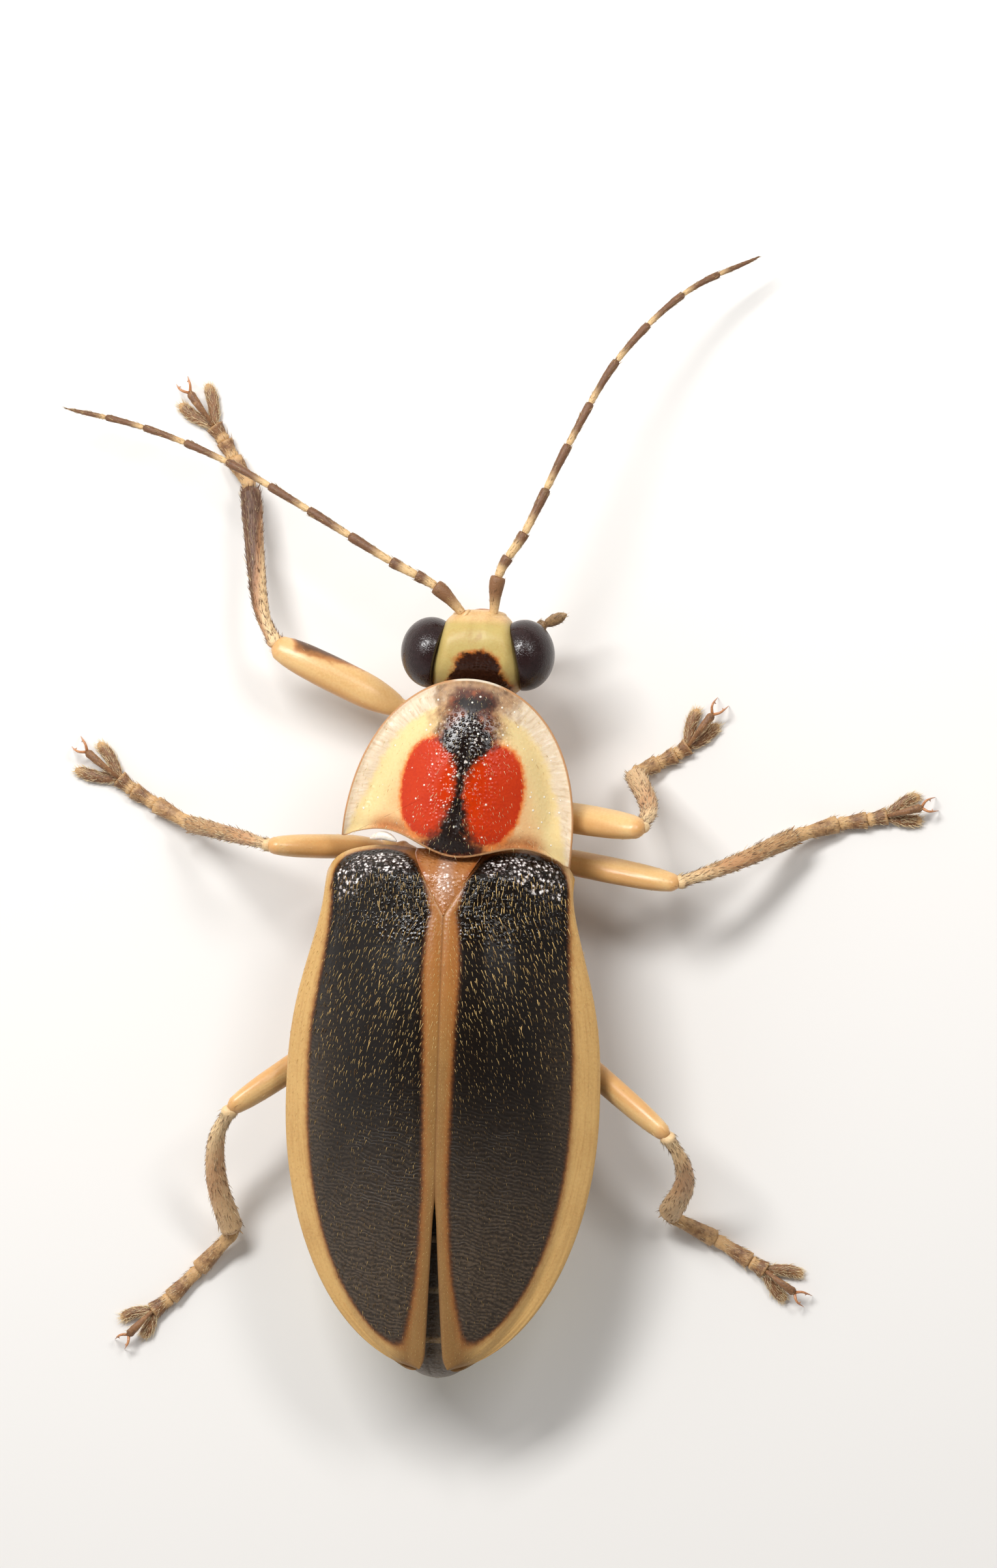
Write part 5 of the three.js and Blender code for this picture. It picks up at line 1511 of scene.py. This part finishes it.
# the trochanter, its narrow joint and the swollen femur
FEMUR_SWELL = [(0, 0.42), (0.05, 0.62), (0.09, 0.66), (0.125, 0.52), (0.17, 0.66), (0.3, 0.92), (0.5, 1.0),
               (0.7, 0.98), (0.84, 0.9), (0.93, 0.76), (0.975, 0.6), (1, 0.3)]
TARSUS_SWELL = [(-0.06, 0.5), (0.0, 0.7), (0.3, 0.76), (0.75, 0.96), (0.92, 1.0), (0.98, 0.88), (1.0, 0.5)]
LOBE_SWELL = [(-0.1, 0.3), (0.05, 0.75), (0.4, 0.95), (0.75, 1.0), (0.92, 0.75), (1.0, 0.25)]


def femur_shape(leg):
    """Coxa end, trochanter, swollen femur and its rounded knee."""
    plan = LEGS[leg]
    hip, knee = np.array(plan["hip"]), np.array(plan["knee"])
    axis = unit(knee - hip)
    lift = 0.06 * UP
    stations = [hip, hip * 0.6 + knee * 0.4 + lift, hip * 0.25 + knee * 0.75 + lift, knee + axis * 0.06]
    route = curve_through(stations, 64)
    share = np.linspace(0, 1, 64)
    width = FEMUR_WIDTHS[leg.split("_")[0]] / 2
    half = width * profile(share, FEMUR_SWELL)
    bend = bend_normal(plan)
    body = tube(route, half, half * 0.78, 30, up=bend, share=share, knee=smooth(share, 0.93, 0.99))
    body["values"]["edge"] = (body["points"] - hip) @ np.cross(axis, bend) / width
    return body, route, half


def bend_normal(plan):
    """The axis that the knee bends about, so the limb is widest in the plane it bends in."""
    thigh = np.array(plan["knee"], float) - np.array(plan["hip"], float)
    shin = np.array(plan["ankle"], float) - np.array(plan["knee"], float)
    normal = np.cross(thigh, shin)
    normal = normal / max(np.linalg.norm(normal), 1e-6)
    return normal * (1 if normal[2] >= 0 else -1)


def tibia_shape(leg):
    plan = LEGS[leg]
    rings, sides = 72, 26
    route = curve_through([plan["knee"], *plan["shin"], plan["ankle"]], rings)
    share = np.linspace(0, 1, rings)
    start, end = (0.27, 0.4) if leg.startswith("hind") else (0.24, 0.35)
    width = profile(share, [
        (0, start * 0.8), (0.02, start * 1.14), (0.07, start * 0.98), (0.3, mix(start, end, 0.35)),
        (0.7, mix(start, end, 0.85)), (0.93, end), (0.975, end * 0.95), (1, end * 0.5),
    ]) / 2
    bend = bend_normal(plan)
    body = tube(route, width, width * 0.8, sides, up=bend, share=share, edge=0 * share)
    _, beside, _ = frames_along(route, bend)
    offsets = body["points"][:rings * sides].reshape(rings, sides, 3) - route[:, None]
    edge = (offsets * beside[:, None]).sum(-1) / np.maximum(width[:, None], 1e-3)
    body["values"]["edge"][:rings * sides] = edge.ravel()
    return body, route, width


def spur_shapes(route):
    """Two short spurs at the end of a tibia."""
    along, beside, _ = frames_along(route, (0, 0, 1))
    parts = []
    for turn in (-1, 1):
        root = route[-4] + beside[-4] * turn * 0.09
        tip = root + unit(along[-4] + beside[-4] * turn * 0.5 - 0.2 * UP) * 0.2
        thick = np.linspace(0.03, 0.004, 6)
        parts.append(tube(np.linspace(root, tip, 6), thick, thick, 8, share=1.0))
    return parts


def tarsus_shape(leg):
    """Three cone-shaped segments, a split fourth with padded lobes, and a slender fifth."""
    plan = LEGS[leg]
    heights = [0.13, 0.11, 0.105]
    foot = [np.array([*spot, high]) for spot, high in zip(plan["foot"], heights)]
    joints = [np.array(plan["ankle"]) * (1, 1, 0.85)] + foot
    parts, paths = [], []
    for k in range(3):
        begin, end = joints[k], joints[k + 1]
        share = np.linspace(-0.06, 1.0, 22)
        path = begin + (end - begin) * share[:, None]
        width = profile(share, TARSUS_SWELL) * (0.15, 0.145, 0.15)[k]
        dusk = (0.62, 0.8, 1.0)[k] * smooth(share, 0.1, 0.6) * (1 - 0.5 * smooth(share, 0.7, 0.95))
        parts.append(tube(path, width, width * 0.72, 18, share=share, dusk=dusk))
        paths.append((path, width))
    fork = foot[2]
    for spot in plan["lobes"]:
        tip = np.array([*spot, 0.06])
        out = unit(tip - fork)
        share = np.linspace(-0.1, 1.0, 26)
        inner = np.cross(out, UP) * np.sign(np.cross(out, np.array([*plan["claws"], 0.06]) - fork)[2])
        bow = inner * 0.05 * np.sin(math.pi * np.clip(share, 0, 1))[:, None]
        path = fork + (tip - fork) * share[:, None] + bow
        width = profile(share, LOBE_SWELL) * 0.1
        dusk = 1 - 0.75 * smooth(share, 0.7, 1.0)
        parts.append(tube(path, width, width * 0.6, 18, share=share, dusk=dusk))
        paths.append((path, width))
    claws = np.array([*plan["claws"], 0.2])
    share = np.linspace(0, 1, 22)[:, None]
    arch = np.array([0, 0, 0.09]) * np.sin(math.pi * share)
    path = fork + np.array([0, 0, 0.06]) + (fork * 0.16 + claws * 0.84 - fork) * share + arch
    width = profile(share[:, 0], [(0, 0.5), (0.3, 0.7), (0.8, 1.05), (0.95, 0.95), (1, 0.4)]) * 0.066
    parts.append(tube(path, width, width * 0.85, 16, share=share[:, 0], dusk=0.9))
    paths.append((path, width))
    return parts, paths, path[-1], claws


def claw_shapes(root, claws):
    """Two curved claws that part from each other; the inner side of each has a small tooth."""
    parts = []
    forward = unit((claws - root) * (1, 1, 0))
    side = np.cross(forward, (0, 0, 1.0))
    for turn in (-1, 1):
        bend = claws + side * turn * 0.11 + forward * 0.03 + np.array([0, 0, 0.05])
        tip = claws + side * turn * 0.12 + forward * 0.13
        tip[2] = 0.02
        arch = (root + bend) / 2 + side * turn * 0.03 + 0.04 * UP
        path = curve_through([root + side * turn * 0.02, arch, bend, tip], 18)
        thick = np.linspace(0.028, 0.005, 18)
        parts.append(tube(path, thick, thick * 1.2, 10))
        mid = path[8]
        tooth = np.linspace(mid, mid - side * turn * 0.045 + np.array([0, 0, -0.05]), 5)
        fine = np.linspace(0.02, 0.004, 5)
        parts.append(tube(tooth, fine, fine, 8))
    return gather(parts)


def femur_material(name, smudge):
    finish = Finish(name)
    share, edge = finish.value("share"), finish.value("edge")
    colour = finish.mottle((226, 188, 130), (210, 162, 100), 0.6, 1.6, 24.0)
    streaks = finish.field(finish.times(edge, 4.0), finish.times(share, 3.0), 1.6)
    colour = finish.blend(colour, (232, 200, 142), finish.range(streaks, 0.5, 0.78, 0.0, 0.2))
    flanks = finish.range(finish.math("ABSOLUTE", edge), 0.7, 1.0, 0.0, 0.5)
    colour = finish.blend(colour, (202, 142, 78), flanks)
    knee = finish.blend(colour, (206, 134, 68), finish.times(finish.value("knee"), 0.4))
    if smudge:
        reach = finish.times(finish.range(share, 0.36, 0.74, 0.1, 1.0), finish.range(share, 0.95, 0.85))
        inside = finish.plus(finish.minus(edge, 0.8), reach)
        inside = finish.plus(inside, finish.range(finish.noise(5.0), 0.3, 0.7, -0.12, 0.12))
        knee = finish.blend(knee, (178, 112, 58), finish.range(inside, 0.05, 0.4, 0.0, 0.85))
        knee = finish.blend(knee, (84, 56, 36), finish.range(inside, 0.25, 0.8, 0.0, 0.95))
    finish.bump(finish.plus(streaks, finish.times(finish.noise(30.0, 4.0), 0.4)), 0.004)
    return finish.done(knee, 0.32, glow=0.25, glow_depth=0.25)


def shin_material(name, dark, shade, start, full, sided):
    """Pale at the knee and darker towards the foot; sided keeps one edge pale for longer."""
    finish = Finish(name)
    edge = finish.value("edge")
    pale = finish.mottle((236, 204, 156), (214, 174, 122), 0.6, 2.5, 26.0)
    dusk = finish.mottle(dark, shade, 0.6, 3.0, 30.0)
    share = finish.minus(finish.value("share"), finish.times(edge, sided))
    mask = finish.range(share, start, full)
    colour = finish.blend(pale, dusk, mask)
    turning = finish.times(mask, finish.minus(1.0, mask))
    colour = finish.blend(colour, (176, 104, 54), finish.times(turning, 2.0))
    grain = finish.field(finish.times(edge, 5.0), finish.times(finish.value("share"), 5.0), 2.0, 4.0)
    colour = finish.blend(colour, (206, 174, 130), finish.range(grain, 0.5, 0.72, 0.0, 0.4))
    finish.bump(finish.plus(grain, finish.noise(38.0)), 0.008)
    return finish.done(colour, 0.46, glow=0.15, glow_depth=0.12)


def tarsus_material():
    finish = Finish("tarsus_cuticle")
    pale = finish.mottle((212, 172, 120), (180, 136, 88), 0.6, 3.0, 30.0)
    dark = finish.mottle((148, 104, 66), (98, 66, 42), 0.9, 5.0, 30.0)
    colour = finish.blend(pale, dark, finish.edge(finish.minus(finish.value("dusk"), 0.5), 0.3, 10.0, 0.45))
    finish.bump(finish.noise(38.0), 0.01)
    return finish.done(colour, 0.5, glow=0.15, glow_depth=0.1)


# bristles on the three segments of a foot, its two lobes and its slender end
FOOT_BRISTLES = (130, 130, 130, 380, 380, 40)
LOWEST_TIP = 0.015


def add_legs():
    thigh, smudged = femur_material("femur_cuticle", False), femur_material("femur_cuticle_smudged", True)
    shins = {
        "front": shin_material("shin_cuticle_dark", (106, 68, 46), (66, 42, 28), 0.22, 0.68, 0.34),
        "middle": shin_material("shin_cuticle_golden", (184, 142, 96), (140, 102, 64), 0.05, 0.7, 0.1),
        "hind": shin_material("shin_cuticle_brown", (216, 180, 136), (184, 146, 104), 0.12, 0.8, 0.1),
    }
    toes = tarsus_material()
    horn = plain_finish("claw_horn", (204, 144, 98), (150, 92, 54), (0.7, 5.0, 30.0), None, 0.3,
                        (0.1, 0.05))
    pale = hair_finish("leg_down", (150, 112, 66), (236, 204, 148))
    dusky = hair_finish("shin_bristles", (104, 70, 44), (240, 212, 166))
    soft, stiff = [], []
    for number, leg in enumerate(LEGS):
        body, route, width = femur_shape(leg)
        dress = smudged if leg == "front_left" else thigh
        settle(make_piece("femur_skin_" + leg, body, dress), "leg_cuticle", "femur_" + leg)
        column = 0.02 + 0.16 * number
        bend = bend_normal(LEGS[leg])
        soft.append(limb_hair_roots(route, width, 0.78, 260, 60 + number, lean=0.85, tone=0.8,
                                    patch_at=(column, 0.05), size=0.8, up=bend))
        shin, shin_route, shin_width = tibia_shape(leg)
        shin = gather([shin] + spur_shapes(shin_route))
        dress = shins["hind" if leg == "front_right" else leg.split("_")[0]]
        settle(make_piece("tibia_skin_" + leg, shin, dress), "shin_cuticle", "tibia_" + leg)
        shade = 0.2 if leg == "front_left" else 0.42
        stiff.append(limb_hair_roots(shin_route, shin_width, 0.8, 1200, 70 + number, lean=0.72, tone=shade,
                                     patch_at=(column, 0.2), size=0.85, up=bend))
        parts, paths, root, claws = tarsus_shape(leg)
        settle(make_piece("tarsus_skin_" + leg, gather(parts), toes), "shin_cuticle", "tarsus_" + leg)
        settle(make_piece("claws_" + leg, claw_shapes(root, claws), horn), "shin_cuticle")
        for k, (path, half) in enumerate(paths):
            flat, shade = (0.72, 0.5) if k < 3 else (0.62, 0.98)
            seed = 80 + 10 * number + k
            stiff.append(limb_hair_roots(path, half, flat, FOOT_BRISTLES[k], seed, lean=0.66, tone=shade,
                                         patch_at=(column, 0.35 + 0.1 * k), size=0.7))
    settle(grow_hairs("femur_down", join_roots(soft), pale, 0.075, 0.008, 0.2, 3, 0.25, 14), "leg_cuticle")
    # bristles that would reach into the floor are left out
    stiff = join_roots(stiff)
    tips = stiff["points"][:, 2] + 0.1 * stiff["lie"][:, 2]
    stiff = {name: values[tips > LOWEST_TIP] for name, values in stiff.items()}
    settle(grow_hairs("shin_bristles", stiff, dusky, 0.105, 0.0105, 0.15, 3, 0.3, 15), "shin_cuticle")


# Under the wing cases

# y, half width, height of the belly
THORAX = [
    (-0.06, 0.9, 1.2), (-0.35, 1.25, 1.05), (-0.9, 1.6, 0.95), (-1.6, 1.7, 0.9), (-2.3, 1.7, 0.92),
    (-2.85, 1.6, 1.0),
]
PROTHORAX = [(0.2, 0.8, 1.15), (0.6, 0.95, 1.05), (1.4, 0.92, 1.02), (2.1, 0.7, 1.15), (2.42, 0.55, 1.3)]
COXA_WIDTHS = [(-0.15, 0.26), (0.2, 0.31), (0.6, 0.27), (0.85, 0.2), (1.0, 0.15), (1.06, 0.06)]
PROTHORAX_EDGE_Z, PROTHORAX_TOP_Z = 1.75, 2.62
THORAX_EDGE_Z, TIP_EDGE_Z = 1.72, 1.78
ABDOMEN_FRONT_Y = -2.75
ABDOMEN_TIP_Y = -9.02
SEGMENT_ENDS = [-2.75, -3.72, -4.69, -5.66, -6.62, -7.5, -8.36, -8.99]
LAST_SEGMENT = len(SEGMENT_ENDS) - 2
ABDOMEN_CLOSE_Y = -8.5


def under_case(x, y):
    """Height of a surface that lies evenly below the wing cases."""
    across = (np.abs(x) - case_inner(y)) / (case_outer(y) - case_inner(y))
    step, depth = 0.05, 0.3
    further = (np.abs(x) + step - case_inner(y)) / (case_outer(y) - case_inner(y))
    here = case_top(np.clip(across, 0, 1), y)
    slope = (case_top(np.clip(further, 0, 1), y) - here) / step
    return here - depth * np.hypot(1, slope)


def thorax_roof(x, y):
    return np.minimum(under_case(x, y) - 0.05, 2.6)


def body_rings(ys, halves, edges, bellies, roof):
    """Rings that widen to their edges, with a roof above and a belly below them."""
    cosine, sine = circle_of(96)
    ys, halves, edges, bellies = (np.asarray(v, float)[:, None] for v in (ys, halves, edges, bellies))
    x = halves * cosine
    lift = np.abs(sine)[None, :] + 0 * x
    high = mix(edges, roof(x, ys + 0 * x), lift**0.8)
    low = mix(edges, bellies, lift**1.2)
    z = np.where(sine[None, :] >= 0, np.maximum(high, edges), low)
    return np.stack([x, ys + 0 * x, z], -1)


def smooth_table(table, count):
    """The rows of a table of (y, half width, belly) drawn out to count smooth ones."""
    table = np.array(table)[::-1] if table[0][0] > table[-1][0] else np.array(table)
    ys = np.linspace(table[-1, 0], table[0, 0], count)
    return [ys] + [profile(ys, table[:, [0, k]]) for k in range(1, table.shape[1])]


def end_rounding(rings, depth):
    """Rings that close a body's two ends in a small round."""
    steps = 6
    front, back = rings[0], rings[-1]
    along = np.sign(back.mean(0)[1] - front.mean(0)[1])
    caps = []
    for ring, turn in ((front, -along), (back, along)):
        middle = ring.mean(0)
        part = []
        for angle in np.linspace(0, math.pi / 2, steps + 1)[1:] * 0.98:
            inset = middle + (ring - middle) * (1 - 0.35 * (1 - math.cos(angle)))
            inset[:, 1] += turn * depth * math.sin(angle)
            part.append(inset)
        caps.append(part)
    return np.concatenate([caps[0][::-1], rings, caps[1]])


def coxa_shape(leg):
    plan = LEGS[leg]
    root, hip = np.array(plan["coxa"]), np.array(plan["hip"])
    share = np.linspace(-0.15, 1.06, 30)
    path = root + (hip - root) * share[:, None]
    width = profile(share, COXA_WIDTHS)
    return tube(path, width, width * 0.9, 26)


def abdomen_half_width(y):
    share = (ABDOMEN_FRONT_Y - 0.1 - y) / (ABDOMEN_FRONT_Y - 0.1 - ABDOMEN_TIP_Y)
    narrowed = 2.2 * np.sqrt(np.maximum(1 - np.maximum(share, 0) ** 3.2, 0.01))
    return np.minimum(narrowed, np.maximum(case_outer(y) - 0.28, 0.5))


def abdomen_segment(k):
    """One ring of the abdomen, a little wider at its hind edge, which overlaps the next."""
    front, back = SEGMENT_ENDS[k] + 0.03, SEGMENT_ENDS[k + 1] - 0.03
    share = np.linspace(0, 1, 26)
    if k == LAST_SEGMENT:
        share = np.sin(share * math.pi / 2)
    ys = mix(front, back, share)
    rear = np.clip((ABDOMEN_FRONT_Y - ys) / (ABDOMEN_FRONT_Y - ABDOMEN_TIP_Y), 0, 1)
    swell = profile(share, [(0, 0.955), (0.15, 0.975), (0.6, 0.99), (0.9, 1.0), (0.97, 0.995), (1, 0.98)])
    belly = mix(0.95, 1.5, rear**3) + 0.9 * (1 - swell)
    edge = mix(THORAX_EDGE_Z, TIP_EDGE_Z, rear)

    def roof(x, y):
        high = under_case(x, np.clip(y, ABDOMEN_CLOSE_Y, -2.0)) - 0.06
        return np.maximum(high + 0.25 * (swell[:, None] - 1), edge[:, None])

    half = abdomen_half_width(np.maximum(ys, ABDOMEN_CLOSE_Y))
    if k == LAST_SEGMENT:
        half = half * (1 - 0.22 * smooth(-ys, 8.4, 8.8))
    rings = body_rings(ys, half * swell, edge, belly, roof)
    below = rings[..., 2] < edge[:, None]
    beside = np.abs(rings[..., 0]) / half[:, None]
    rings[..., 2] += np.where(below, 0.03 * bell(beside, 0.72, 0.08), 0)
    if k == LAST_SEGMENT:
        closing = np.clip((ABDOMEN_CLOSE_Y - ys) / (ABDOMEN_CLOSE_Y - back), 0, 1)
        size = np.maximum(np.sqrt(1 - closing**2), 0.06)[:, None]
        rings[..., 0] *= size
        rings[..., 2] = TIP_EDGE_Z + (rings[..., 2] - TIP_EDGE_Z) * size
        rings[..., 2] -= 0.12 * (closing**2)[:, None]
    rings = end_rounding(rings, 0.03 if k < LAST_SEGMENT else 0.005)
    along = (rings[:, :, 1].mean(1) - front) / (back - front)
    return ring_shell(rings, share=along, up=rings[..., 2] - 1.75, ahead=rings[..., 1])


def abdomen_material(name, below, below_shade, above, above_shade, glow, hem_share=0.6):
    finish = Finish(name)
    belly = finish.mottle(below, below_shade, 0.6, 1.6, 24.0)
    back = finish.mottle(above, above_shade, 0.6, 1.6, 24.0)
    colour = finish.blend(belly, back, finish.range(finish.value("up"), -0.05, 0.08))
    hem = finish.range(finish.value("share"), 0.86, 0.95, 0.0, hem_share)
    colour = finish.blend(colour, (196, 160, 112), hem)
    wrinkles = finish.noise(6.0, 4.0, (1.0, 3.0, 1.0))
    grain = finish.granules(14.0, 0.5, 50.0)
    finish.bump(finish.plus(finish.times(grain, 0.4), wrinkles), 0.02)
    return finish.done(colour, 0.38, glow=glow, glow_depth=0.25)


def membrane_shape():
    """The folded white skin that shows between the pronotum and the left wing case."""
    share = np.linspace(0, 1, 50)
    y = 0.2 + 0.07 * np.sin(share * math.pi) - 0.03 * share
    centres = np.stack([mix(-1.36, -0.9, share), y, 2.5 + 0.12 * share], 1)
    bulge = np.sin(np.clip(share, 0.02, 0.98) * math.pi) ** 0.5
    return tube(centres, 0.075 * bulge, 0.06 * bulge, 40)


def add_membrane():
    skin = plain_finish("shoulder_membrane", (246, 238, 228), (224, 196, 164), (0.7, 4.0, 24.0),
                        (10.0, 0.012), 0.24, (0.2, 0.1))
    settle(make_piece("shoulder_membrane", membrane_shape(), skin), "body_cuticle")


def scutellum_shape():
    rows, columns = 70, 50
    share = np.linspace(0, 1, rows)[:, None]
    across = np.linspace(-1, 1, columns)[None, :]
    y = mix(0.06, -1.06, share)
    half = np.maximum(case_inner(y) + 0.05, 0.02) * np.sqrt(np.clip((1.02 - share) / 0.12, 0, 1))
    x = half * across
    z = case_top(0 * share, y) - 0.012 + 0.06 * (1 - np.abs(across) ** 1.5) * (1 - 0.6 * share)
    top = np.stack([x, y + 0 * x, z], -1)
    bottom = top[:, ::-1] - 0.1 * UP
    rings = np.concatenate([top, bottom], axis=1)
    rim = (1 - np.abs(across)) * half
    rim, aside = (np.concatenate([value, value[:, ::-1]], 1) for value in (rim, np.abs(x)))
    return ring_shell(rings, rim=rim, share=share[:, 0], aside=aside)


def add_scutellum():
    finish = Finish("scutellum_cuticle")
    plate = finish.mottle((172, 114, 64), (146, 84, 42), 0.6, 3.0, 26.0)
    share = finish.value("share")
    # painted highlight: the middle of the scutellum, along its ridge, is painted paler, and white glints
    # are painted on its granules there
    centre = finish.times(finish.range(finish.value("aside"), 0.2, 0.03), finish.range(share, 0.9, 0.5))
    plate = finish.blend(plate, (176, 136, 112), finish.times(centre, 0.85))
    glint_beads = finish.cells(12.0)
    glint_beads = finish.times(finish.range(glint_beads, 0.36, 0.16), finish.times(centre, 0.85))
    plate = finish.blend(plate, (250, 240, 232), glint_beads)
    brown = finish.blend((150, 84, 36), plate, finish.range(finish.value("rim"), 0.0, 0.12))
    colour = finish.blend(brown, plate, finish.range(share, 0.35, 0.7))
    finish.bump(finish.granules(13.0, 0.3, 50.0), 0.010)
    material = finish.done(colour, 0.22, glow=0.1, glow_depth=0.15)
    settle(make_piece("scutellum_skin", scutellum_shape(), material), "scutellum_cuticle", "scutellum")


def add_underbody():
    finish = Finish("body_cuticle")
    tan = finish.mottle((196, 146, 92), (140, 92, 52), 0.7, 1.4, 24.0)
    finish.bump(finish.granules(12.0, 0.4, 50.0), 0.012)
    finish = finish.done(tan, 0.4, glow=0.15, glow_depth=0.15)
    ys, half, belly = smooth_table(PROTHORAX, 40)
    rings = body_rings(ys, half, PROTHORAX_EDGE_Z + 0 * ys, belly, lambda x, y: PROTHORAX_TOP_Z + 0 * x)
    front = ring_shell(from_shield(end_rounding(rings, 0.12)))
    front = gather([front, coxa_shape("front_left"), coxa_shape("front_right")])
    settle(make_piece("prothorax_skin", front, finish), "body_cuticle", "prothorax")
    ys, half, belly = smooth_table(THORAX, 60)
    rings = body_rings(ys, half, THORAX_EDGE_Z + 0 * ys, belly, thorax_roof)
    middle = ring_shell(end_rounding(rings, 0.06))
    legs = [coxa_shape(leg) for leg in ("middle_left", "middle_right", "hind_left", "hind_right")]
    settle(make_piece("thorax_skin", gather([middle] + legs), finish), "body_cuticle", "thorax")
    segments = abdomen_material("abdomen_cuticle", (190, 150, 100), (130, 92, 58), (70, 54, 42),
                                (44, 34, 28), 0.15)
    glow = abdomen_material("lantern_cuticle", (238, 232, 186), (216, 206, 150), (96, 80, 60), (60, 50, 40),
                            0.4)
    tail = abdomen_material("abdomen_tip_cuticle", (140, 122, 98), (92, 78, 62), (112, 98, 82),
                            (70, 58, 48), 0.1, 0.0)
    rings = [abdomen_segment(k) for k in range(LAST_SEGMENT + 1)]
    settle(make_piece("abdomen_skin", gather(rings[:4]), segments), "body_cuticle", "abdomen")
    settle(make_piece("lantern_skin", gather(rings[4:6]), glow), "lantern_cuticle", "lantern")
    settle(make_piece("abdomen_tip_skin", rings[LAST_SEGMENT], tail), "body_cuticle", "abdomen_tip")


# Floor


def add_floor():
    half = 0.15
    corners = [(-half, -half, 0), (half, -half, 0), (half, half, 0), (-half, half, 0)]
    mesh = bpy.data.meshes.new("floor")
    mesh.from_pydata(corners, [], [(0, 1, 2, 3)])
    mesh.materials.append(Finish("floor_paint").done((238, 235, 231), 0.6))
    show("floor", mesh)


# The whole scene

add_camera()
add_lights()
add_floor()
add_wing_cases()
add_shield()
add_head()
add_antennae()
add_legs()
add_scutellum()
add_membrane()
add_underbody()
